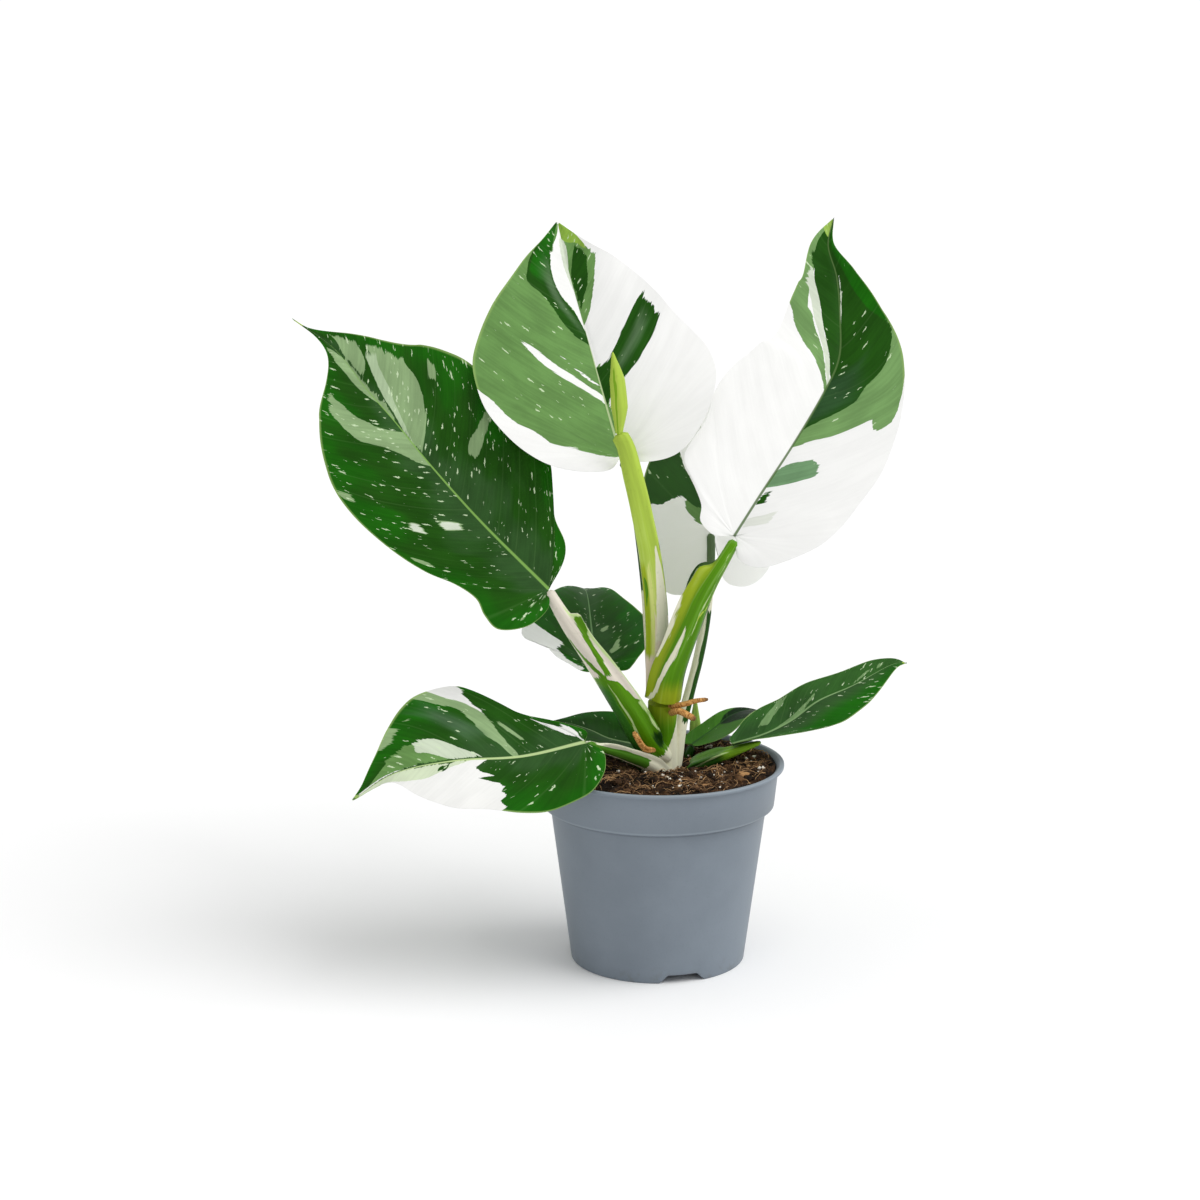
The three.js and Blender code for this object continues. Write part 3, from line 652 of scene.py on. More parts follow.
    "back": {
        # Painted light: the white is lighter than on the other blades, standing in for light that shines
        # through this shaded leaf
        "slot": "leaf_white", "base": screen(252, 252, 250), "flecks": 0.3, "midrib": (PALE, 0.9, 0.9),
        "layers": [
            (MID, [streak(RIGHT, [(0, -0.2), (0.15, -0.1), (0.4, 0)], 0.1, 0.05, 0.4)]),
            (DARK, [
                streak(RIGHT, [(0, 0.12), (0.2, 0.08), (0.5, 0.05), (0.7, -0.1), (0.9, -0.14)],
                       [(0, 0.1), (0.2, 0.19), (0.4, 0.26), (0.5, 0.3), (0.8, 0.5), (1, 0.6)], 0.1),
            ]),
        ],
    },
    "back_left": {
        "slot": "leaf_green", "base": DARK, "flecks": 1.0, "midrib": (screen(110, 146, 96), 0.8, 0.9),
        "layers": [
            (WHITE, [
                streak(LEFT, -0.85, [(0.5, -0.3), (0.75, -0.42), (1, -0.3)], 0.74),
                streak(LEFT, -0.32, 0.02, 0.5),
            ]),
            (GREY, [
                streak(RIGHT, 0.03, [(0.3, 0.07), (0.45, 0.115)], 0.29, 0.46),
                streak(RIGHT, 0.24, 0.27, 0.2, 0.34),
            ]),
        ],
    },
    "low_back_left": {
        "slot": "leaf_green", "base": DARK, "flecks": 0.6, "midrib": (GREY, 0.9, 0.9), "layers": [],
    },
    "low_back_right": {
        # Painted shade and light: the ground is near-black for the shade on this cupped blade, and the
        # lighter green near the stalk is its lit part
        "slot": "leaf_green", "base": screen(12, 40, 10), "flecks": 0.4, "midrib": (SHEEN_GREEN, 0.9, 0.9),
        "layers": [
            (screen(62, 112, 34), [
                streak(LEFT, -1.4, [(0, 0.4), (0.5, 0.5), (1, 0.66)]),
                streak(RIGHT, -1.4, [(0, 0.4), (1, 0.2)]),
            ], 0.6),
        ],
    },
}


def blade_point(leaf, rib, x, y, lift):
    """A point on a blade: x along the midrib, y to its left, lift above the middle of its thickness."""
    s = np.clip(x, 0, rib.length)
    along = rib.along(s)
    place = rib.at(s) + along * (x - s)[..., None]
    face = unit(np.array(leaf["face"], float))
    up = unit(face - along * (along @ face)[..., None])
    side = np.cross(up, along)
    half = np.where(y < 0, 1, 0)
    pinch = np.array(leaf["pinch"])[half] * (1 - smooth(x, 0, BLADE["pinch_reach"]))
    start = np.radians(np.array(leaf["fold"])[half] + pinch)
    turn = np.radians(np.array(leaf["curl"], float)[half]) / leaf["half_width"]
    turn = np.where(np.abs(turn) < 1e-6, 1e-6, turn)
    away = np.abs(y)
    end = start + turn * away
    out = (np.sin(end) - np.sin(start)) / turn
    rise = (np.cos(start) - np.cos(end)) / turn
    tilt = np.where(away > 0, end, 0)
    sign = np.where(y < 0, -1, 1)
    place = place + side * (sign * (out - lift * np.sin(tilt)))[..., None]
    return place + up * (rise + lift * np.cos(tilt))[..., None]


def vein_rows(leaf, length):
    """For each half, the rows (v, root, end) that follow the veins from the midrib to the margin."""
    margins = {}
    roots = np.linspace(0, length, 1500)
    spread = np.gradient(roots)
    for half, outline in leaf["outlines"].items():
        margin = Path([[0, 0]] + outline + [[length, 0]])
        s = np.linspace(0, margin.length, 1500)
        origin = margin.at(s)[:, 0] - BLADE["vein_lead"] * np.abs(margin.at(s)[:, 1])
        lobe = np.nonzero(origin <= 1e-6)[0].max()
        steady = np.maximum.accumulate(origin[lobe:]) + 0.04 * (s[lobe:] - s[lobe])
        steady = (steady - steady[0]) * length / (steady[-1] - steady[0])
        ends = np.interp(roots, steady, s[lobe:])
        spread = np.maximum(spread, np.gradient(ends))
        margins[half] = (margin, s[lobe], ends)
    total = np.cumsum(spread)
    count = int(total[-1] / BLADE["step"])
    body = np.interp(np.linspace(total[0], total[-1], count), total, roots)
    rows = {}
    for half, (margin, lobe_length, ends) in margins.items():
        lobe = np.linspace(0, lobe_length, int(lobe_length / BLADE["step"]) + 2)[:-1]
        end = np.concatenate([lobe, np.interp(body, roots, ends)])
        v = np.concatenate([lobe / lobe_length - 1, body / length])
        root = np.concatenate([np.zeros(len(lobe)), body])
        rows[half] = (v, root, margin.at(end))
    return rows


def streak_depth(mark, v, t, across, reach):
    """How far inside a streak a point lies, in mm. Ends count less, so that they come out ragged."""
    low, high = edge_at(mark["low"], t), edge_at(mark["high"], t)
    sides = np.minimum(v - low, high - v) * across
    ends = np.minimum(t - mark["near"], mark["far"] - t) * reach * 0.35
    return np.clip(np.minimum(sides, ends), -FAR_INSIDE, FAR_INSIDE)


def half_blade(row, t):
    """One half of a blade laid flat.

    For each point: its v, its place x along the midrib and y to the left of it, its place q across
    the veins in mm, as measured midway to the margin, the mm for each 1 of v there, and the length
    of its vein.
    """
    v, root, end = row
    v, root = v[:, None] + 0 * t, root[:, None]
    x = root + (end[:, :1] - root) * (t + BLADE["vein_bow"] * (t * t - t))
    y = end[:, 1:] * t
    flat = np.stack([x, y], -1)
    vein = unit(np.gradient(flat, axis=1))
    step = np.gradient(flat, axis=0) / np.gradient(v, axis=0)[..., None]
    across = np.abs(step[..., 0] * vein[..., 1] - step[..., 1] * vein[..., 0])
    reach = np.linalg.norm(flat[:, -1] - flat[:, 0], axis=-1)[:, None] + 1
    gaps = np.linalg.norm(np.diff(flat[:, BLADE["columns"] // 2], axis=0), axis=1)
    q = np.concatenate([[0], np.cumsum(gaps)])[:, None]
    q = q - np.interp(0, v[:, 0], q[:, 0]) + 0 * t
    return v, x, y, q, across, reach


def blade_relief(size, half, length, t, q, from_vein):
    """How far both sides of a blade stand off its smooth form. Only the margin ripples much."""
    shape, phase = RELIEF, 2 * math.pi * q / BLADE["vein_spacing"]
    fade = smooth(t, 0, 0.15) * (1 - 0.7 * smooth(t, 0.75, 1))
    quilt = -shape["quilt"] * np.cos(phase) - shape["vein"] * hump(from_vein, shape["vein_width"])
    ripple = shape["ripple"] * np.sin(q / shape["ripple_length"] + 2 * half + length) * t**5
    sway = shape["sway"] * np.sin(q / shape["sway_length"] + 3 * t * half + length)
    return size * (quilt * fade + ripple + sway * smooth(t, 0.1, 0.8))


def make_blade(name):
    leaf, look = LEAVES[name], LOOKS[name]
    rib = Path(leaf["midrib"])
    rows = vein_rows(leaf, rib.length)
    t = np.linspace(0, 1, BLADE["columns"] + 1)[None, :]
    size = leaf["half_width"] / BLADE["usual_half_width"]
    thick = BLADE["half_thickness"] * (1 - BLADE["rim_share"] * smooth(t, 0.6, 1))
    points, faces, grain, veins = [], [], [], []
    kinds = [f"streak_{i + 1}" for i in range(len(look["layers"]))]
    values = {kind: [] for kind in [*kinds, "to_margin", "to_tip", "under"]}
    start = 0
    for half in (LEFT, RIGHT):
        v, x, y, q, across, reach = half_blade(rows[half], t)
        spacing, away = BLADE["vein_spacing"], np.abs(y)
        from_vein = np.abs(q / spacing - np.round(q / spacing)) * spacing
        relief = blade_relief(size, half, rib.length, t, q, from_vein)
        groove = RELIEF["groove"] * size * hump(away, RELIEF["groove_width"])
        ridge = RELIEF["ridge"] * size * hump(away, RELIEF["ridge_width"])
        ridge = ridge * (1 - 0.75 * smooth(x, 0, rib.length))
        for side in (1, -1):
            lift = relief - (groove if side > 0 else ridge) + side * thick
            points.append(blade_point(leaf, rib, x, y, lift).reshape(-1, 3))
            grain.append(np.stack([q, reach * t], -1).reshape(-1, 2))
            veins.append(np.stack([from_vein, away], -1).reshape(-1, 2))
            values["to_margin"].append((t + 0 * v).ravel())
            values["to_tip"].append(np.clip(v, 0, 1).ravel())
            values["under"].append(np.full(v.size, float(side < 0)))
            for kind, layer in zip(kinds, look["layers"]):
                marks = [mark for mark in layer[1] if mark["half"] == half]
                inside = [streak_depth(mark, v, t + 0 * v, across, reach) for mark in marks]
                deepest = np.max(inside, axis=0).ravel() if inside else np.full(v.size, -FAR_INSIDE)
                values[kind].append(deepest)
            faces += grid_faces(len(v), t.size, start, flip=(side > 0) == (half > 0))
            start += v.size
        rim_rows = np.arange(len(v)) * t.size + t.size - 1
        upper, lower = rim_rows + start - 2 * v.size, rim_rows + start - v.size
        for i in range(len(v) - 1):
            ring = [upper[i], upper[i + 1], lower[i + 1], lower[i]]
            faces.append(ring if half > 0 else ring[::-1])
    values = {kind: np.concatenate(parts) for kind, parts in values.items()}
    uvs = {"grain": np.concatenate(grain), "veins": np.concatenate(veins)}
    piece = make_piece(f"leaf_{name}", np.concatenate(points), faces, values, uvs)
    return settle(piece, leaf_material(name, look), look["slot"], f"blade_{name}")


def shade(colour, share):
    """A colour made darker or lighter."""
    return (*(min(c * share, 1.0) for c in colour[:3]), 1.0)


def living(shader, colour, tone):
    """A leaf colour that varies with tone. Green varies more than white."""
    green = 1 - colour[2]
    return shader.mix(tone, shade(colour, 1 - 0.17 * green), shade(colour, 1 + 0.17 * green))


def painted(shader, colour, layers, tone, jag):
    """Each layer's colour over the one before, with edges that jag along the grain.

    A layer may end with the half width of its edge in mm, where that is not a sharp one.
    """
    for i, (layer, _, *edge) in enumerate(layers):
        width = edge[0] if edge else 0.14
        depth = shader.sum("ADD", shader.value(f"streak_{i + 1}"), jag)
        colour = shader.mix(shader.range(depth, -width, width), colour, living(shader, layer, tone))
    return colour


def leaf_material(name, look):
    shader = Shader(f"leaf_{name}")
    grain = shader.uv("grain")
    veins = shader.parts(shader.uv("veins"))
    out = shader.value("to_margin")
    fine = shader.noise(shader.stretched(grain, (1.1, 0.06, 0)), detail=2, roughness=0.6)
    broad = shader.noise(shader.stretched(grain, (0.2, 0.06, 0)), detail=1)
    jag = shader.sum("ADD", shader.range(fine, 0.25, 0.75, -0.45, 0.45, "LINEAR"),
                     shader.range(broad, 0.3, 0.7, -0.5, 0.5, "LINEAR"))
    jag = shader.sum("MULTIPLY", jag, shader.range(shader.value("to_tip"), 0.65, 1, 1, 0.15))
    cloud = shader.noise(shader.stretched(grain, (0.08, 0.04, 0)), detail=4)
    fibre = shader.noise(shader.stretched(grain, (0.7, 0.03, 0)), detail=3)
    tone = shader.sum("MULTIPLY_ADD", fibre, 0.35, shader.sum("MULTIPLY", cloud, 0.65))
    tone = shader.range(tone, 0.36, 0.64)

    ground = leaf_ground(shader, look["base"], grain, out, tone)
    colour = painted(shader, ground, look["layers"], tone, jag)
    green = shader.range(shader.parts(colour)[2], 0.7, 0.4)
    colour = specked(shader, colour, grain, green, look["flecks"])

    # The lateral veins, the midrib and the pale line round the margin
    vein = shader.sum("MULTIPLY", shader.range(veins[0], 0.7, 0.1, 0, 0.08), green)
    colour = shader.mix(vein, colour, screen(120, 160, 96))
    rib_colour, rib_width, rib_end = look["midrib"]
    narrow = shader.range(shader.value("to_tip"), 0, rib_end, rib_width, 0.02, "LINEAR")
    rib = shader.range(shader.sum("DIVIDE", veins[1], narrow), 1.1, 0.5, 0, 0.9)
    colour = shader.mix(rib, colour, rib_colour)
    edge = shader.sum("MULTIPLY", shader.range(out, 0.975, 0.995, 0, 0.6), green)
    colour = shader.mix(edge, colour, screen(150, 180, 104))
    faded = shader.sum("MULTIPLY", shader.value("under"), shader.range(green, 0, 1, 0.0, 0.12))
    colour = shader.mix(faded, colour, screen(126, 158, 118))

    ribs = shader.noise(shader.stretched(grain, (2.2, 0.05, 0)), detail=2)
    normal = shader.bump(ribs, 0.00004)
    pores = shader.noise(shader.place(), scale=1800, detail=1)
    normal = shader.bump(pores, 0.00002, normal)
    roughness = shader.range(tone, 0.0, 1.0, 0.42, 0.54)
    return shader.finish(colour, roughness, normal, specular=0.06)


def leaf_ground(shader, base, grain, out, tone):
    """A dark leaf's ground has a painted sheen by the midrib, is deep across the middle and fresh by the
    margin.
    """
    ground = living(shader, base, tone)
    if base is DARK:
        drift = shader.noise(shader.stretched(grain, (0.045, 0.03, 0)), detail=2)
        where = shader.sum("ADD", out, shader.range(drift, 0.3, 0.7, -0.3, 0.3, "LINEAR"))
        sheen, fresh = living(shader, SHEEN_GREEN, tone), living(shader, BRIGHT, tone)
        # Painted sheen by the midrib
        ground = shader.mix(shader.range(where, 0.45, 0.05, 0, 0.85), ground, sheen)
        ground = shader.mix(shader.range(where, 0.5, 0.95, 0, 0.8), ground, fresh)
    return ground


def specked(shader, colour, grain, green, flecks):
    """Specks on the green: short pale dashes along the veins, and a few larger ones."""
    wobble = shader.noise(shader.stretched(grain, (1.4, 0.7, 0)), detail=2)
    moved = shader.node("ShaderNodeVectorMath", {"operation": "ADD"})
    shader.feed(moved.inputs[0], grain)
    shader.feed(moved.inputs[1], shader.range(wobble, 0, 1, -1.0, 1.0, "LINEAR"))
    crowd = shader.noise(shader.stretched(grain, (0.05, 0.035, 0)), detail=2)
    for spread, size, amount in (((0.62, 0.16, 0), 0.34, 0.5), ((0.15, 0.05, 0), 0.2, 0.16)):
        cells = shader.node(
            "ShaderNodeTexVoronoi", {"voronoi_dimensions": "2D"},
            Vector=shader.stretched(moved.outputs[0], spread), Scale=1.0,
        )
        chance = shader.parts(cells.outputs["Color"])
        radius = shader.sum("MULTIPLY", shader.sum("POWER", chance[1], 1.7), size)
        inside = shader.range(shader.sum("SUBTRACT", radius, cells.outputs["Distance"]), 0, 0.07)
        wanted = shader.range(crowd, 0.38, 0.66, 0.1 * amount, 1.5 * amount * flecks)
        picked = shader.range(shader.sum("SUBTRACT", wanted, chance[0]), 0, 0.02)
        speck = shader.sum("MULTIPLY", shader.sum("MULTIPLY", inside, picked), green)
        colour = shader.mix(shader.sum("MULTIPLY", speck, 0.85), colour, screen(206, 226, 186))
    return colour


for leaf_name in LEAVES:
    make_blade(leaf_name)

# Stalks and roots

# end is the length over which an end is rounded off, and tip what is left of the width there.
STALK = {"sides": 60, "step": 1.4, "groove": 0.25, "groove_width": 0.5, "end": 1.2, "tip": 0.55}

# flaps are the free edges of a sheath: where each lies round the stalk, how wide it is, and its
# height as a share of the half width, at points along the stalk. foot is the length over which
# its lower end is rounded off, where that is more than at other ends. Streaks are
# (low, high, near, far), with low and high round the stalk from its underside and near and far
# along it.

STALKS = {
    "stem": {
        "path": [[3, 12, 80], [2, 9, 101], [2, 5, 126]],
        "width": [15, 14.5, 14], "depth": [15, 14.5, 14], "up": [0, 1, 0],
        "slot": "stalk_green", "base": screen(80, 134, 12),
        "layers": [
            (OLIVE, [(-0.5, 0.5, 0.84, 1.2)], 2),
            (CREAM, [([(0, -0.3), (0.4, -0.15), (0.48, 0.03), (0.59, 0.1), (0.74, 0.17), (0.9, 0.24)],
                      0.36, -0.2, 0.9)]),
        ],
    },
    "petiole_right": {
        "path": [[3, 0, 127], [6, -4, 143], [14, -7, 164], [21, -8, 181], [29, -8, 195],
                 [35, -6, 205]],
        "width": [16, 16, 14, 13, 9, 5.5], "depth": [14, 12, 10, 8, 6, 5],
        "up": [-0.6, 0.6, 0.4], "slot": "stalk_green", "base": GRASS,
        "flaps": [
            (0.34, 0.04, [(0, 0.36), (0.72, 0.36), (0.77, 0.2), (0.79, 0), (1, 0)]),
            (0.66, 0.04, [(0, 0.36), (0.3, 0.5), (0.43, 0.72), (0.55, 0.9), (0.7, 1.0), (0.79, 1.2),
                          (0.83, 0), (1, 0)]),
            (0.6, 0.03, [(0, 0), (0.52, 0), (0.62, 0.7), (0.74, 1.4), (0.81, 1.3), (0.86, 0), (1, 0)]),
        ],
        "layers": [
            (OLIVE, [(0.62, 0.74, 0.04, 0.84), (0.6, 1.1, -0.2, 0.12)], 1.5),
            (DEEP, [(0.5, 0.635, 0.3, 0.9), (1.08, 1.2, 0.1, 0.7)]),
            (CREAM, [([(0, 0.67), (0.06, 0.71), (0.17, 0.765), (0.24, 0.78), (0.31, 0.805), (0.5, 0.825)],
                      [(0, 0.7), (0.06, 0.76), (0.17, 0.815), (0.24, 0.845), (0.31, 0.86), (0.5, 0.85)],
                      0.0, 0.47),
                     ([(0.2, 0.66), (0.4, 0.645), (0.8, 0.64)],
                      [(0.2, 0.67), (0.4, 0.69), (0.55, 0.68), (0.68, 0.652), (0.8, 0.648)],
                      0.24, 0.76)]),
            (MINT, [([(0.41, 0.915), (0.48, 0.945), (0.56, 0.945), (0.7, 1.0), (0.77, 0.972), (0.85, 0.965),
                      (0.91, 0.9)],
                     [(0.41, 0.925), (0.48, 0.957), (0.56, 0.958), (0.7, 1.015), (0.77, 0.985),
                      (0.85, 0.978), (0.91, 0.91)], 0.4, 0.92)], 0.3),
            (LIME, [([(0.5, 0.95), (0.55, 0.95), (0.65, 1.08), (0.87, 1.06), (1, 1.05)],
                     [(0.5, 0.965), (0.55, 0.975), (0.65, 1.105), (0.87, 1.085), (1, 1.07)], 0.52, 0.95)]),
        ],
    },
    "petiole_left": {
        "path": [[3, 6, 96], [-6, 0, 107], [-15.5, -4, 124.5], [-29, -7, 146], [-42.5, -8, 165.5],
                 [-52, -6, 181]],
        "width": [16, 18, 17, 15, 11, 6], "depth": [10, 12, 11, 9, 7, 5],
        "up": [0.6, 0.5, 0.5], "slot": "stalk_green", "base": GRASS,
        "flaps": [
            (0.34, 0.04, [(0, 0), (0.12, 0.1), (0.2, 0.36), (0.6, 0.4), (0.72, 0.46), (0.8, 0.8),
                          (0.845, 1.0), (0.87, 0), (1, 0)]),
            (0.66, 0.04, [(0, 0), (0.12, 0.1), (0.2, 0.36), (0.66, 0.36), (0.7, 0), (1, 0)]),
        ],
        "foot": 9,
        "layers": [
            (screen(222, 214, 200), [
                ([(0, 0.62), (0.3, 0.6), (0.36, 0.34), (0.43, 0.28), (0.49, 0.25), (0.53, 0.13), (0.58, 0.1),
                  (1, 0.1)], 0.62, -0.2, 1.2),
                (0.86, 1.12, 0.55, 1.2),
            ]),
            (CREAM, [(-0.5, 0.5, -0.2, 0.08)]),
            (MINT, [([(0.5, 0.86), (0.7, 0.86), (1, 0.9)], [(0.5, 0.95), (0.7, 0.93), (1, 0.94)], 0.5, 1),
                    ([(0.5, 0.33), (0.7, 0.3), (0.88, 0.27)], [(0.5, 0.36), (0.7, 0.345), (0.88, 0.345)],
                     0.3, 0.9)], 0.5),
            (screen(52, 110, 30), [(0.85, 1.08, -0.2, 0.5)], 1),
            (GRASS, [([(0.5, 1.08), (0.54, 1.08), (0.63, 1.0), (0.74, 0.945), (0.8, 0.93)],
                      [(0.5, 1.13), (0.54, 1.14), (0.63, 1.06), (0.74, 0.99), (0.8, 0.96)], 0.5, 0.77),
                     ([(0.54, 0.14), (0.64, 0.17), (0.79, 0.25), (0.84, 0.28)],
                      [(0.54, 0.22), (0.64, 0.26), (0.79, 0.33), (0.84, 0.33)], 0.54, 0.84)]),
            (MINT, [([(0, 0.075), (0.15, 0.085), (0.38, 0.105), (0.5, 0.1)],
                     [(0, 0.095), (0.15, 0.107), (0.38, 0.127), (0.5, 0.115)], 0.12, 0.5),
                    ([(0, 0.425), (0.07, 0.405), (0.23, 0.31), (0.35, 0.3)],
                     [(0, 0.443), (0.07, 0.423), (0.23, 0.328), (0.35, 0.318)], 0.08, 0.36)]),
            (DEEP, [(0.24, 0.42, 0.11, 0.19)], 0.5),
        ],
    },
    "stalk_new_leaf": {
        "path": [[-1, 3, 130], [-1, 3, 165], [-4, 3, 194], [-8.6, 3, 218], [-12.6, 3, 235],
                 [-15.6, 3, 247], [-19, 2, 254]],
        "width": [10, 11, 11, 10.5, 10, 9.5, 8], "depth": [6, 7, 7, 7, 6, 6, 5],
        "up": [0, 1, 0], "slot": "stalk_lime", "base": LIME,
        "layers": [
            (screen(188, 204, 104), [(-0.5, 0.5, 0.1, 0.46)], 4),
            (screen(150, 172, 26), [(0.7, 0.915, 0.1, 0.5)], 0.8),
            # A painted highlight: the pale lime band down one side
            (screen(208, 218, 128), [(0.925, 0.97, 0.14, 0.5)], 0.4),
            (BLUSH, [(-0.5, 0.5, -0.2, 0.14), (-0.02, 0.3, -0.2, 0.3)], 0.6),
            (CREAM, [([(0.1, -0.02), (0.35, 0.01), (0.48, 0.06), (0.56, 0.1)],
                      [(0.1, 0.2), (0.4, 0.19), (0.56, 0.12)], 0.2, 0.56),
                     (0.755, 0.78, 0.18, 0.57)]),
            (GRASS, [([(0.33, 0.85), (0.46, 0.84)], [(0.33, 0.87), (0.42, 0.9), (0.46, 0.845)], 0.34, 0.46),
                     (0.2, 0.235, 0.3, 0.5)]),
            (DARK, [(0.2, 0.27, 0.54, 0.57)]),
        ],
    },
    "petiole_centre": {
        "path": [[-1, 11, 127], [-3, 12, 155], [-5.5, 13, 183], [-9.6, 13, 213], [-14, 13, 233],
                 [-17, 13, 240]],
        "width": [9, 8, 7, 6.5, 6, 5], "depth": [7, 7, 7, 6, 6, 5],
        "up": [0, -1, 0.3], "slot": "stalk_green", "base": LIME,
        "layers": [(DARK, [(0.1, 0.5, 0.44, 1.2)]), (CREAM, [(0.1, 0.5, 0.1, 0.44)])],
    },
    "petiole_back": {
        "path": [[7, 11, 80], [8, 11, 91], [11, 14, 110], [15, 18, 125], [20, 25, 143],
                 [24, 34, 163], [26, 41, 185], [26, 44, 199]],
        "width": [7, 7, 5.5, 5, 5, 4.5, 4, 4], "depth": [6, 6, 5, 5, 5, 4.5, 4, 4],
        "up": [0, 1, 0.2], "slot": "stalk_white", "base": CREAM,
        "layers": [(DARK, [(0.0, 0.3, 0.26, 0.7)]), (screen(84, 106, 72), [(-0.5, 0.5, 0.8, 1.2)], 1)],
    },
    "petiole_low_left": {
        "path": [[2.5, 8, 84.7], [-6, -2, 96], [-18, -13, 104], [-28, -24, 110],
                 [-34.2, -32.2, 114]],
        "width": [12, 12, 9, 6, 4.5], "depth": [8, 8, 6.5, 5, 4],
        "up": [0, 0.3, 1], "slot": "stalk_white", "base": screen(72, 124, 30), "foot": 6,
        "flaps": [
            (0.34, 0.04, [(0, 0.36), (0.5, 0.5), (0.72, 0.8), (0.82, 0.6), (0.88, 0), (1, 0)]),
            (0.66, 0.04, [(0, 0.36), (0.5, 0.36), (0.6, 0), (1, 0)]),
        ],
        "layers": [
            (DARK, [(-0.2, 0.02, -0.2, 1.2)]),
            (CREAM, [([(0, -0.5), (0.2, -0.5), (0.34, 0.22)], 0.5, -0.2, 0.34), (0.29, 0.37, 0.2, 0.92),
                     (0.02, 0.06, 0.2, 1.2), (0.37, 0.6, 0.6, 1.2)]),
        ],
    },
    "petiole_low_right": {
        "path": [[14, 14, 82], [17, 11, 91], [24, 8, 95], [33, 5, 99.3], [42, 3, 103], [49, 3.5, 105.2]],
        "width": [10, 10, 9.5, 8.5, 6, 2.5], "depth": [6, 6, 6.5, 6, 4, 2],
        # Painted shade: the ground is a darker green for the shade underneath, partly the stalk's own colour
        "up": [-0.3, -0.2, 1], "slot": "stalk_green", "base": screen(46, 92, 24),
        "flaps": [
            (0.34, 0.05, [(0, 0), (0.15, 0.3), (0.5, 0.4), (0.64, 0), (1, 0)]),
            (0.64, 0.04, [(0, 0), (0.15, 0.36), (0.5, 0.5), (0.6, 0.4), (0.66, 0), (1, 0)]),
        ],
        "layers": [
            (screen(122, 172, 34), [(-0.5, 0.5, 0.6, 1.2)], 1),
            # Painted light: a lighter green over the top of the stalk
            (screen(78, 124, 34), [(0.36, 0.6, -0.2, 0.62)], 1),
            (MINT, [([(0.1, 0.74), (0.3, 0.69), (0.64, 0.62)], [(0.1, 0.755), (0.3, 0.71), (0.64, 0.645)],
                     0.1, 0.66)], 0.2),
        ],
    },
    "petiole_back_left": {
        "path": [[0, 14, 85], [-6, 14, 97], [-15, 14, 112], [-22, 16, 126], [-28.5, 16, 137]],
        "width": [8, 9, 9, 7, 4.5], "depth": [6, 7, 7, 5, 4],
        "up": [0.3, 0.2, 1], "slot": "stalk_green", "base": DEEP, "layers": [],
    },
    "petiole_low_back_left": {
        "path": [[-3, 23, 82], [-5, 25, 91], [-8, 27, 96]],
        "width": [6, 6, 4.5], "depth": [6, 5, 4],
        "up": [0.2, -0.2, 1], "slot": "stalk_green", "base": DARK, "layers": [],
    },
    "petiole_low_back_right": {
        "path": [[13, 27, 82], [15, 27, 92], [17, 27, 97]],
        "width": [6, 6, 4.5], "depth": [6, 5, 4],
        "up": [-0.2, -0.2, 1], "slot": "stalk_green", "base": DARK, "layers": [],
    },
    "side_shoot": {
        "path": [[19, 41, 82], [19, 41, 98], [19, 41, 109], [19, 41, 116]],
        "width": [6.4, 6.4, 5.4, 1.6], "depth": [5, 5, 4, 1.6],
        "up": [0, -1, 0], "slot": "stalk_lime", "base": screen(150, 184, 84), "layers": [],
    },
    "new_leaf": {
        "path": [[-19, 2, 253.6], [-19, 2, 266], [-20, 3, 279], [-22, 4, 292]],
        "width": [3, 8, 7, 1], "depth": [3, 6, 5, 1],
        "up": [0, -1, 0], "slot": "stalk_lime", "base": LIME,
        "layers": [(screen(118, 160, 30), [(0.42, 0.465, -0.2, 0.8)])], "roll": 0.16,
    },
}

ROOTS = {
    "root_right_long": {
        "path": [[5, -1, 124], [12, -8, 127], [17, -10, 129], [23, -11, 130]],
        "width": [3, 3, 2.6, 2], "up": [0, 0, 1],
    },
    "root_right_short": {
        "path": [[5.5, -2, 121], [9, -9.5, 124], [13, -12.5, 123], [17, -14, 121]],
        "width": [3.4, 3.4, 3.4, 3], "up": [0, 0, 1],
    },
    "root_left": {
        "path": [[-12, -10.5, 114], [-9, -11, 109], [-6, -9, 105], [-1, -5, 104]],
        "width": [2.4, 2.8, 3, 2.6], "up": [0, -1, 0],
    },
}


def stalk_section(stalk, u, angle):
    """How far a stalk's section stands out at an angle, as a share of its half width."""
    from_top = np.abs(angle - math.pi / 2)
    from_top = np.minimum(from_top, 2 * math.pi - from_top)
    share = 1 - STALK["groove"] * hump(from_top, STALK["groove_width"])
    around = angle / (2 * math.pi) + 0.25
    for at, width, heights in stalk.get("flaps", []):
        share = share + edge_at(heights, u) * hump(around - at, width)
    if "roll" in stalk:
        turned = np.mod(angle / (2 * math.pi) + 0.6 * u, 1)
        share = 1 + stalk["roll"] * (turned - 0.5)
    return share


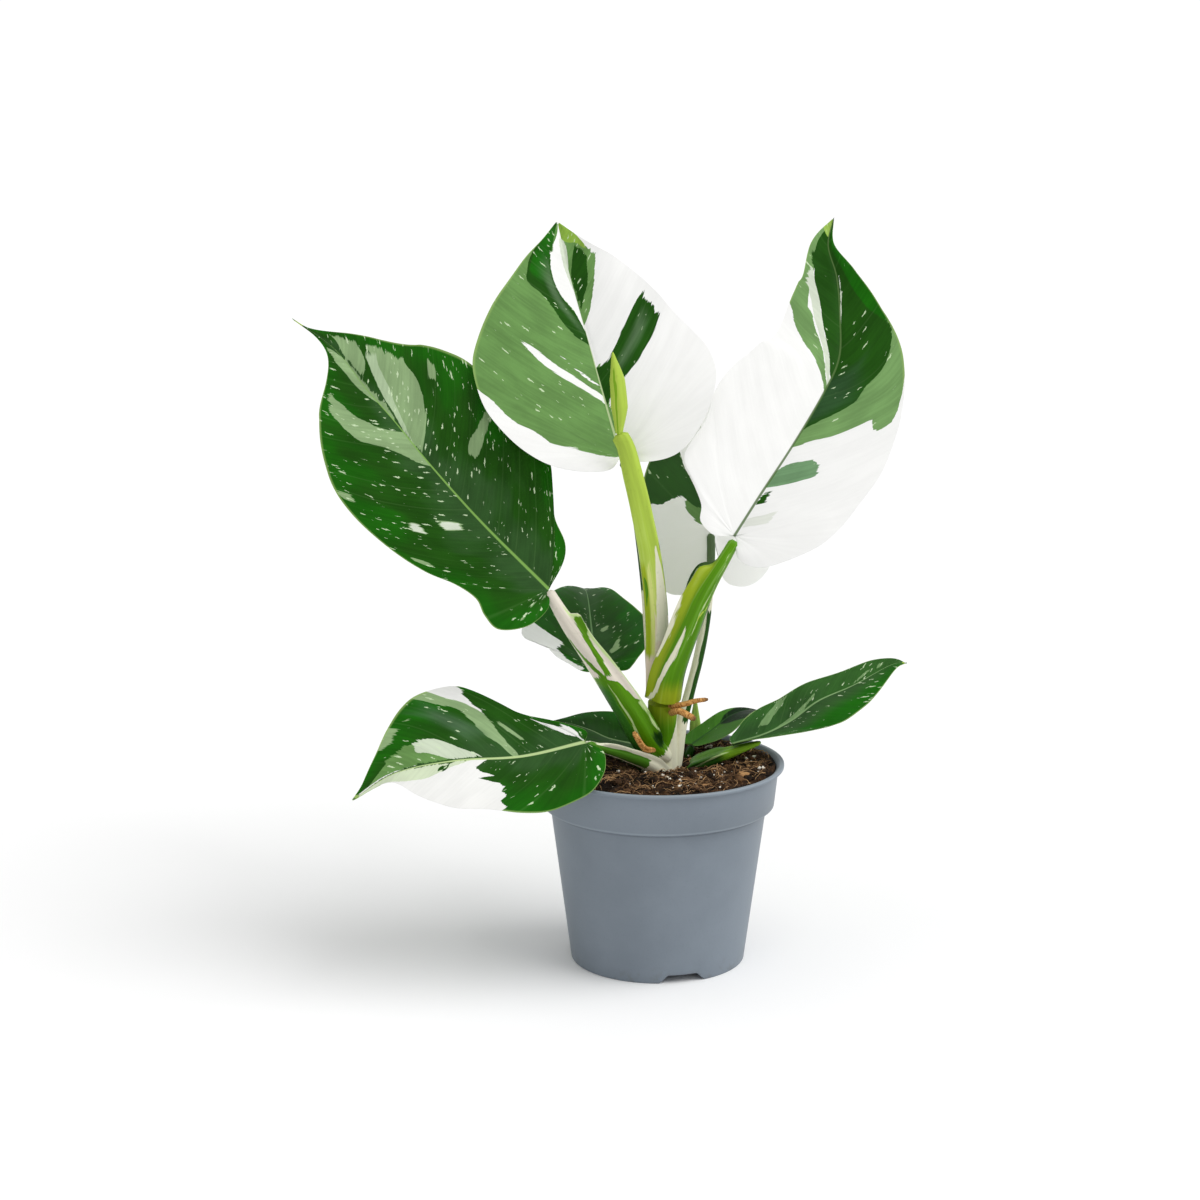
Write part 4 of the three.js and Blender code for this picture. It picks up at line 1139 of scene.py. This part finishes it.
def make_stalk(name, stalk):
    path = Path(stalk["path"])
    count = max(6, int(path.length / STALK["step"]))
    u = np.linspace(0, 1, count + 1)[:, None]
    sides = STALK["sides"]
    around = np.linspace(0, 1, sides + 1)[None, :]
    angle = -math.pi / 2 + 2 * math.pi * around
    centre, along = path.at(u[:, 0] * path.length), path.along(u[:, 0] * path.length)
    side = unit(np.cross(np.array(stalk["up"], float), along))
    top = np.cross(along, side)
    knots = np.linspace(0, 1, len(stalk["width"]))
    half_width = np.interp(u, knots, stalk["width"]) / 2
    half_depth = np.interp(u, knots, stalk.get("depth", stalk["width"])) / 2
    ends = np.minimum(u / stalk.get("foot", STALK["end"]), (1 - u) / STALK["end"]) * path.length
    dome = np.sqrt(1 - (1 - np.clip(ends, 0, 1)) ** 2)
    share = stalk_section(stalk, u, angle) * (STALK["tip"] + (1 - STALK["tip"]) * dome)
    wide, high = half_width * share * np.cos(angle), half_depth * share * np.sin(angle)
    points = centre[:, None] + side[:, None] * wide[..., None] + top[:, None] * high[..., None]
    girth = math.pi * (half_width + half_depth)
    grain = np.stack([around * np.mean(girth) + 0 * u, u * path.length + 0 * around], -1)
    spots = np.stack([u + 0 * around, around + 0 * u], -1)
    faces = grid_faces(count + 1, sides + 1)
    points, grain, spots = (a.reshape(-1, a.shape[-1]) for a in (points, grain, spots))
    values = {}
    for i, layer in enumerate(stalk.get("layers", [])):
        inside = []
        for low, high_edge, near, far in layer[1]:
            for turn in (-1, 0, 1):
                low_at = edge_at(low, u + 0 * around) + turn
                high_at = edge_at(high_edge, u + 0 * around) + turn
                edges = np.minimum(around - low_at, high_at - around) * girth
                ends_at = np.minimum(u - near, far - u) * path.length * 0.3
                inside.append(np.minimum(edges, ends_at))
        deepest = np.clip(np.max(inside, axis=0), -FAR_INSIDE, FAR_INSIDE)
        values[f"streak_{i + 1}"] = deepest.reshape(-1)
    for end, at in ((0, 0), (count, 1)):
        middle = np.mean(points[end * (sides + 1):(end + 1) * (sides + 1) - 1], axis=0)
        points = np.vstack([points, middle])
        grain = np.vstack([grain, [0, at * path.length]])
        spots = np.vstack([spots, [at, 0.5]])
        values = {k: np.append(v, v[end * (sides + 1)]) for k, v in values.items()}
        last = len(points) - 1
        for j in range(sides):
            a = end * (sides + 1) + j
            faces.append([last, a + 1, a] if end == 0 else [last, a, a + 1])
    return make_piece(name, points, faces, values, {"grain": grain, "spots": spots})


def stalk_material(name, stalk):
    shader = Shader(name)
    grain = shader.uv("grain")
    fine = shader.noise(shader.stretched(grain, (1.2, 0.07, 0)), detail=2)
    jag = shader.range(fine, 0.25, 0.75, -0.5, 0.5, "LINEAR")
    tone = shader.range(shader.noise(shader.stretched(grain, (0.4, 0.02, 0)), detail=3), 0.25, 0.75)
    ground = living(shader, stalk["base"], tone)
    colour = painted(shader, ground, stalk["layers"], tone, jag)
    green = shader.range(shader.parts(colour)[2], 0.6, 0.3)
    pale = shader.sum("MULTIPLY", shader.range(tone, 0.7, 1, 0, 0.1), green)
    colour = shader.mix(pale, colour, screen(206, 220, 160))
    spots = shader.noise(shader.place(), scale=420, detail=2)
    colour = shader.mix(shader.range(spots, 0.6, 0.75, 0, 0.12), colour, screen(96, 120, 40))
    normal = shader.bump(tone, 0.0001)
    roughness = shader.range(fine, 0.3, 0.7, 0.34, 0.46)
    return shader.finish(colour, roughness, normal, specular=0.12)


def root_material():
    shader = Shader("root")
    grain = shader.uv("grain")
    rings = shader.noise(shader.stretched(grain, (0.4, 1.4, 0)), detail=3, roughness=0.7)
    colour = shader.mix(shader.range(rings, 0.35, 0.65), screen(150, 90, 32), screen(232, 178, 104))
    tips = shader.parts(shader.uv("spots"))[0]
    colour = shader.mix(shader.range(tips, 0.86, 1.0, 0, 0.75), colour, screen(66, 38, 22))
    normal = shader.bump(rings, 0.0003)
    return shader.finish(colour, shader.range(rings, 0.3, 0.7, 0.6, 0.8), normal, specular=0.3)


for stalk_name, stalk in STALKS.items():
    grown = make_stalk(f"grown_{stalk_name}", stalk)
    settle(grown, stalk_material(f"grown_{stalk_name}", stalk), stalk["slot"], stalk_name)

bark = root_material()
for root_name, root in ROOTS.items():
    settle(make_stalk(f"grown_{root_name}", root), bark, "root", root_name)

# Pot

POT = {
    "lip_radius": 60, "height": 96.8, "lip_height": 1.6, "collar_top": 57.4, "collar_foot": 55.4,
    "collar_foot_height": 76.9, "shoulder": 75.3, "shoulder_radius": 51.6, "foot_radius": 41.7,
    "wall": 1.2, "floor": 1.5, "floor_lift": 4, "foot_width": 5, "pad_radius": 12,
    "lip_width": 2, "edge": 0.5, "draft": 1.2, "segments": 288,
}
POT_SHARP = math.radians(50)
NOTCHES = {"count": 3, "first": -74.5, "width": 22.6, "taper": 4, "height": 4}
DRAIN_HOLES = {"count": 6, "radius": 3.5, "ring": 25}
SOIL = {
    "level": 92.9, "rim_height": 94, "lump": 0.9, "dip": 5.7, "dip_radius": 30, "middle": (3, 12),
    "gap": 0.35,
}
CRUMBS = {"coarse": 1.5, "coarse_spread": 0.22, "fine": 0.9, "fine_spread": 0.9}


def rounded(before, corner, after, radius, steps=4):
    """Points round a corner of a profile, on a curve that starts radius away from it."""
    before, corner, after = (np.array(p, float) for p in (before, corner, after))
    a = corner + unit(before - corner) * radius
    b = corner + unit(after - corner) * radius
    t = np.linspace(0, 1, steps + 1)[:, None]
    return ((1 - t) ** 2 * a + 2 * t * (1 - t) * corner + t**2 * b).tolist()


def pot_profile():
    p = POT
    collar_top = p["height"] - p["lip_height"]
    shoulder = [
        [p["shoulder_radius"] + (p["collar_foot"] - p["shoulder_radius"]) * k,
         p["shoulder"] + (p["collar_foot_height"] - p["shoulder"]) * k * k]
        for k in np.linspace(0, 1, 7)
    ]
    inner = p["wall"]
    floor_top = p["floor_lift"] + p["floor"]
    corners = [
        [p["pad_radius"], 0], [p["pad_radius"] + p["draft"], p["floor_lift"]],
        [p["foot_radius"] - p["foot_width"] - p["draft"], p["floor_lift"]],
        [p["foot_radius"] - p["foot_width"], 0], [p["foot_radius"], 0],
    ]
    wall = [[p["foot_radius"] + (p["shoulder_radius"] - p["foot_radius"]) * k, p["shoulder"] * k]
            for k in np.linspace(0.08, 0.96, 14)]
    lip = [
        [p["collar_top"], collar_top], [p["lip_radius"], collar_top],
        [p["lip_radius"], p["height"]], [p["lip_radius"] - p["lip_width"], p["height"]],
        [p["collar_top"] - inner, collar_top],
    ]
    rest = [
        [p["collar_foot"] - inner, p["collar_foot_height"] + inner / 2],
        [p["shoulder_radius"] - inner, p["shoulder"] + inner / 2],
        [p["foot_radius"] - inner, floor_top], [p["pad_radius"], floor_top],
        [p["pad_radius"] - p["draft"], p["floor"]],
    ]
    chain = [[0, 0], *corners, *wall, *shoulder, *lip, *rest, [0, p["floor"]]]
    soft = {tuple(q) for q in corners + lip + rest[2:4]}
    profile = []
    for i, point in enumerate(chain):
        if tuple(point) in soft:
            profile += rounded(chain[i - 1], point, chain[i + 1], p["edge"])
        else:
            profile.append(point)
    return np.array(profile)


def make_pot():
    profile = pot_profile()
    turn = np.linspace(0, 2 * math.pi, POT["segments"] + 1)
    r, z = profile[:, 0][:, None], profile[:, 1][:, None] + 0 * turn[None, :]
    for i in range(NOTCHES["count"]):
        middle = math.radians(NOTCHES["first"] + 360 * i / NOTCHES["count"])
        away = np.abs(np.mod(turn - middle + math.pi, 2 * math.pi) - math.pi) * POT["foot_radius"]
        rise = np.clip((NOTCHES["width"] / 2 - away) / NOTCHES["taper"], 0, 1) * NOTCHES["height"]
        foot = (r > POT["pad_radius"] + 4) & (r < POT["foot_radius"] + 3)
        z = np.where(foot, np.maximum(z, rise[None, :]), z)
    points = np.stack([r * np.cos(turn), r * np.sin(turn), z], -1).reshape(-1, 3)
    faces = grid_faces(len(profile), turn.size)
    return drilled(make_piece("nursery_pot", points, faces, sharp=POT_SHARP))


def drilled(pot):
    """The pot with its drain holes cut through the floor."""
    cut = bmesh.new()
    radius = DRAIN_HOLES["radius"] * MM
    for i in range(DRAIN_HOLES["count"]):
        angle = 2 * math.pi * i / DRAIN_HOLES["count"]
        made = bmesh.ops.create_cone(
            cut, cap_ends=True, segments=40, radius1=radius, radius2=radius, depth=20 * MM,
        )
        place = Vector((math.cos(angle), math.sin(angle), 0)) * DRAIN_HOLES["ring"] * MM
        bmesh.ops.translate(cut, verts=made["verts"], vec=place)
    cutter_mesh = bpy.data.meshes.new("holes")
    cut.to_mesh(cutter_mesh)
    cut.free()
    cutter = bpy.data.objects.new("holes", cutter_mesh)
    bpy.context.scene.collection.objects.link(cutter)
    modifier = pot.modifiers.new("holes", "BOOLEAN")
    modifier.object = cutter
    modifier.operation = "DIFFERENCE"
    modifier.solver = "EXACT"
    bpy.context.view_layer.update()
    holed = bpy.data.meshes.new_from_object(pot.evaluated_get(bpy.context.evaluated_depsgraph_get()))
    pot.modifiers.clear()
    pot.data = holed
    holed.set_sharp_from_angle(angle=POT_SHARP)
    bpy.data.objects.remove(cutter)
    return pot


def pot_material():
    shader = Shader("pot_plastic")
    place = shader.place()
    cloud = shader.noise(place, scale=22, detail=4, roughness=0.6)
    colour = shader.mix(shader.range(cloud, 0.3, 0.7), screen(113, 123, 133), screen(121, 131, 141))
    fine = shader.noise(place, scale=900, detail=2)
    colour = shader.mix(shader.range(fine, 0.55, 0.8, 0, 0.12), colour, screen(86, 96, 106))
    normal = shader.bump(fine, 0.00004)
    height = shader.parts(place)[2]
    # Darker in mottled patches towards the bottom
    low_mottle = shader.noise(place, scale=160, detail=5, roughness=0.7)
    low = shader.range(height, 0.012, 0.0, 0, 1)
    low_darkening = shader.sum("MULTIPLY", low, shader.range(low_mottle, 0.5, 0.7, 0, 0.35))
    colour = shader.mix(low_darkening, colour, screen(92, 92, 88))
    lip, collar = POT["height"] * MM, POT["collar_foot_height"] * MM
    # A painted highlight: a lighter band round the top of the lip
    lip_highlight = shader.range(height, lip - 0.0009, lip - 0.0002, 0, 0.3)
    colour = shader.mix(lip_highlight, colour, screen(160, 171, 180))
    # A painted highlight: a lighter line along the collar's lower edge
    step = shader.sum("ABSOLUTE", shader.sum("SUBTRACT", height, collar))
    colour = shader.mix(shader.range(step, 0.0007, 0.0002, 0, 0.3), colour, screen(158, 169, 178))
    # Painted shade: a darker line just below the collar, where it overhangs the shoulder
    under = shader.sum("ABSOLUTE", shader.sum("SUBTRACT", height, collar - 0.0018))
    colour = shader.mix(shader.range(under, 0.0011, 0.0003, 0, 0.35), colour, screen(72, 82, 92))
    roughness = shader.range(cloud, 0.3, 0.7, 0.42, 0.52)
    return shader.finish(colour, roughness, normal, specular=0.35)


settle(make_pot(), pot_material(), "pot", "pot")

# Soil


def soil_top(x, y):
    """How high the soil stands before its crumbs: lumps over a shallow dip round the stem."""
    lumps = (
        np.sin(0.21 * x + 1.3) * np.cos(0.19 * y)
        + 0.6 * np.sin(0.43 * x - 0.37 * y)
        + 0.4 * np.cos(0.61 * y + 0.5 * x + 2)
    )
    mx, my = SOIL["middle"]
    dip = np.exp(-((x - mx) ** 2 + (y - my) ** 2) / SOIL["dip_radius"] ** 2)
    return SOIL["level"] + SOIL["lump"] * lumps / 2 - SOIL["dip"] * (dip - 0.5)


def crumbs(x, y):
    """Rough detail on the soil at each point."""
    near, far = CRUMBS["coarse_spread"], CRUMBS["fine_spread"]
    rough = [
        CRUMBS["coarse"] * noise.fractal(Vector((a * near, b * near, 3)), 0.9, 2.1, 5)
        + CRUMBS["fine"] * noise.noise(Vector((a * far, b * far, 7)))
        for a, b in zip(x.ravel(), y.ravel())
    ]
    return np.array(rough).reshape(x.shape)


def soil_rim():
    """The soil's radius where its top meets the pot's wall."""
    top = POT["height"] - POT["lip_height"]
    share = (SOIL["rim_height"] - POT["collar_foot_height"]) / (top - POT["collar_foot_height"])
    inner = POT["collar_foot"] + (POT["collar_top"] - POT["collar_foot"]) * share
    return inner - POT["wall"] - SOIL["gap"]


def make_soil():
    rim = soil_rim()
    radii = np.concatenate([np.linspace(0, rim - 1.5, 66), [rim - 0.8, rim - 0.3, rim]])[:, None]
    turn = np.linspace(0, 2 * math.pi, 301)[None, :]
    x, y = radii * np.cos(turn), radii * np.sin(turn)
    z = soil_top(x, y) + crumbs(x, y) - 0.2 * smooth(radii, rim - 1, rim)
    z[:, -1] = z[:, 0]
    wall_gap, floor_top = POT["wall"] + SOIL["gap"], POT["floor_lift"] + POT["floor"]
    lower = [
        [POT["collar_foot"] - wall_gap, POT["collar_foot_height"] + POT["wall"] / 2 + SOIL["gap"]],
        [POT["shoulder_radius"] - wall_gap, POT["shoulder"] + POT["wall"] / 2 + SOIL["gap"]],
        [POT["foot_radius"] - wall_gap - 0.8, floor_top + SOIL["gap"]],
        [POT["pad_radius"], floor_top + SOIL["gap"]],
        [POT["pad_radius"] - 1.6, POT["floor"] + SOIL["gap"]], [0, POT["floor"] + SOIL["gap"]],
    ]
    below = [np.stack([r * np.cos(turn[0]), r * np.sin(turn[0]), 0 * turn[0] + h], -1) for r, h in lower]
    points = np.concatenate([np.stack([x, y, z], -1), np.array(below)])
    faces = grid_faces(len(points), turn.size)
    return make_piece("soil_body", points.reshape(-1, 3), faces, sharp=math.radians(180))


def ball(subdivisions):
    made = bmesh.new()
    bmesh.ops.create_icosphere(made, subdivisions=subdivisions, radius=1)
    points = np.array([v.co for v in made.verts])
    faces = np.array([[v.index for v in f.verts] for f in made.faces])
    made.free()
    return points, faces


def scatter(name, seed, count, sizes, spread, flatness=0.75, sink=0.35, subdivisions=2, jag=0.3):
    """Many small lumps in one mesh, lying on the soil. sizes are the smallest and largest radius."""
    chance = np.random.default_rng(seed)
    shape, triangles = ball(subdivisions)
    points, faces, tints = [], [], []
    for i in range(count):
        angle = chance.uniform(0, 2 * math.pi)
        radius = spread * math.sqrt(chance.uniform())
        size = sizes[0] * (sizes[1] / sizes[0]) ** (chance.uniform() ** 2.2)
        spin = np.linalg.qr(chance.normal(size=(3, 3)))[0]
        offset = chance.uniform(-50, 50, 3)
        bumps = np.array([noise.noise(Vector(p * 1.6 + offset)) for p in shape])[:, None]
        lump = shape * (1 + jag * bumps * 1.6) * chance.uniform(0.6, 1.1, 3)
        lump = (lump @ spin.T) * size * np.array([1, 1, flatness])
        x, y = radius * math.cos(angle), radius * math.sin(angle)
        z = float(soil_top(x, y)) + float(crumbs(np.array([x]), np.array([y]))[0])
        points.append(lump + [x, y, z + size * flatness * (1 - 2 * sink)])
        faces += (triangles + len(shape) * i).tolist()
        tints.append(np.full(len(shape), chance.uniform()))
    return make_piece(name, np.concatenate(points), faces, {"tint": np.concatenate(tints)})


# Lengths, radii and heights in mm, and the bend in radians for each mm
FIBRES = {
    "lengths": (4, 17), "radii": (0.09, 0.22), "bend": 0.09, "lift": 0.4, "arch": 1.6,
    "steps": 9, "sides": 4,
}


def fibres(name, seed, count, spread):
    """Coir: thin bent fibres that lie on and in the soil."""
    chance = np.random.default_rng(seed)
    steps, sides = FIBRES["steps"], FIBRES["sides"]
    points, faces, tints = [], [], []
    start = 0
    for _ in range(count):
        angle, radius = chance.uniform(0, 2 * math.pi), spread * math.sqrt(chance.uniform())
        length, thick = chance.uniform(*FIBRES["lengths"]), chance.uniform(*FIBRES["radii"])
        heading, bend = chance.uniform(0, 2 * math.pi), chance.normal() * FIBRES["bend"]
        s = np.linspace(-0.5, 0.5, steps) * length
        course = heading + bend * s
        x = radius * math.cos(angle) + np.cumsum(np.cos(course)) * length / steps
        y = radius * math.sin(angle) + np.cumsum(np.sin(course)) * length / steps
        far = np.maximum(np.hypot(x, y) / (soil_rim() - 1), 1)
        x, y = x / far, y / far
        arch = chance.uniform(0, FIBRES["arch"]) * np.cos(s / length * 3)
        z = soil_top(x, y) + crumbs(x, y) + FIBRES["lift"] + arch
        line = np.stack([x, y, z], -1)
        along = unit(np.gradient(line, axis=0) + 1e-6)
        side = unit(np.cross(along, [0, 0, 1]))
        up = np.cross(side, along)
        for k in range(steps):
            taper = thick * (0.35 + 0.65 * math.sin(math.pi * (k + 0.5) / steps))
            for j in range(sides + 1):
                a = 2 * math.pi * j / sides
                points.append(line[k] + side[k] * taper * math.cos(a) + up[k] * taper * math.sin(a))
        ring = sides + 1
        faces += grid_faces(steps, ring, start)
        tints.append(np.full(steps * ring, chance.uniform()))
        start += steps * ring
    return make_piece(name, np.array(points), faces, {"tint": np.concatenate(tints)})


def earth_material():
    shader = Shader("earth")
    place = shader.place()
    coarse = shader.noise(place, scale=160, detail=5, roughness=0.7)
    fine = shader.noise(place, scale=900, detail=4, roughness=0.7)
    colour = shader.mix(shader.range(coarse, 0.3, 0.7), screen(20, 13, 8), screen(72, 50, 32))
    colour = shader.mix(shader.range(fine, 0.52, 0.7, 0, 0.7), colour, screen(140, 104, 70))
    colour = shader.mix(shader.range(fine, 0.45, 0.3, 0, 0.7), colour, screen(12, 8, 5))
    colour = shader.mix(shader.range(shader.value("tint"), 0.5, 1.0, 0, 0.5), colour, screen(134, 98, 64))
    # Painted shade: near-black in the hollows between the crumbs, in small patches and in larger ones
    colour = shader.mix(shader.range(coarse, 0.46, 0.36, 0, 0.8), colour, screen(10, 7, 5))
    hollow_shade = shader.noise(place, scale=70, detail=2)
    colour = shader.mix(shader.range(hollow_shade, 0.51, 0.38, 0, 0.85), colour, screen(12, 7, 4))
    normal = shader.bump(coarse, 0.0012)
    normal = shader.bump(fine, 0.0005, normal)
    roughness = shader.range(fine, 0.3, 0.7, 0.8, 0.98)
    return shader.finish(colour, roughness, normal, specular=0.15)


def tinted_material(name, low, high, scale, specular=0.2):
    shader = Shader(name)
    place = shader.place()
    grain = shader.noise(place, scale=scale, detail=4, roughness=0.65)
    share = shader.sum("MULTIPLY_ADD", shader.value("tint"), 0.6, shader.range(grain, 0.3, 0.7, 0, 0.4))
    colour = shader.mix(share, low, high)
    normal = shader.bump(grain, 0.0003)
    return shader.finish(colour, shader.range(grain, 0.3, 0.7, 0.75, 0.95), normal, specular=specular)


earth = earth_material()
settle(make_soil(), earth, "soil", "soil")
settle(scatter("soil_clods", 11, 1100, (0.5, 2.8), 52.5), earth, "soil")
settle(scatter("soil_grit", 5, 1500, (0.3, 0.9), 55, subdivisions=1), earth, "soil")
coir = tinted_material("coir", screen(60, 38, 22), screen(214, 170, 120), 700)
settle(fibres("soil_fibres", 23, 380, 53), coir, "soil")
mineral = tinted_material("perlite", screen(204, 194, 172), screen(248, 244, 234), 900)
settle(scatter("perlite", 31, 120, (0.45, 1.3), 53, sink=0.1, jag=0.4), mineral, "soil")
chips = tinted_material("bark_chips", screen(120, 80, 46), screen(204, 160, 108), 400)
settle(scatter("bark_chips", 43, 26, (1.2, 3.2), 52, flatness=0.4, sink=0.1, jag=0.5), chips, "soil")

# Studio

FLOOR_REACH = 30  # metres
SKY = {"as_light": 0.69, "as_seen": 1.05}
SUN = {"turn": -16, "height": 49, "softness": 52, "strength": 1.85}


def floor_material():
    shader = Shader("floor")
    cloud = shader.noise(shader.place(), scale=3, detail=3)
    colour = shader.mix(shader.range(cloud, 0.3, 0.7), (0.93, 0.93, 0.93, 1), (0.95, 0.95, 0.95, 1))
    fine = shader.noise(shader.place(), scale=300, detail=2)
    return shader.finish(colour, 0.9, shader.bump(fine, 0.00002), specular=0.1)


floor_mesh = bpy.data.meshes.new("floor")
corners = [(FLOOR_REACH * x, FLOOR_REACH * y, 0) for x, y in ((-1, -1), (1, -1), (1, 1), (-1, 1))]
floor_mesh.from_pydata(corners, [], [(0, 1, 2, 3)])
floor = bpy.data.objects.new("floor", floor_mesh)
floor.data.materials.append(floor_material())
bpy.context.scene.collection.objects.link(floor)

world = bpy.data.worlds.new("studio")
bpy.context.scene.world = world
world.use_nodes = True
tree = world.node_tree
background = tree.nodes["Background"]
background.inputs["Color"].default_value = (1, 1, 1, 1)
path_node = tree.nodes.new("ShaderNodeLightPath")
strength = tree.nodes.new("ShaderNodeMapRange")
tree.links.new(path_node.outputs["Is Camera Ray"], strength.inputs["Value"])
strength.inputs["To Min"].default_value = SKY["as_light"]
strength.inputs["To Max"].default_value = SKY["as_seen"]
tree.links.new(strength.outputs[0], background.inputs["Strength"])

sun_data = bpy.data.lights.new("sun", "SUN")
sun_data.angle = math.radians(SUN["softness"])
sun_data.energy = SUN["strength"]
sun = bpy.data.objects.new("sun", sun_data)
turn, height = math.radians(SUN["turn"]), math.radians(SUN["height"])
toward = Vector((math.cos(height) * math.cos(turn), math.cos(height) * math.sin(turn), math.sin(height)))
sun.rotation_euler = (-toward).to_track_quat("-Z", "Y").to_euler()
bpy.context.scene.collection.objects.link(sun)

scene = bpy.context.scene
scene.view_settings.view_transform = "Standard"
scene.view_settings.look = "None"
scene.view_settings.exposure = 0
scene.view_settings.gamma = 1
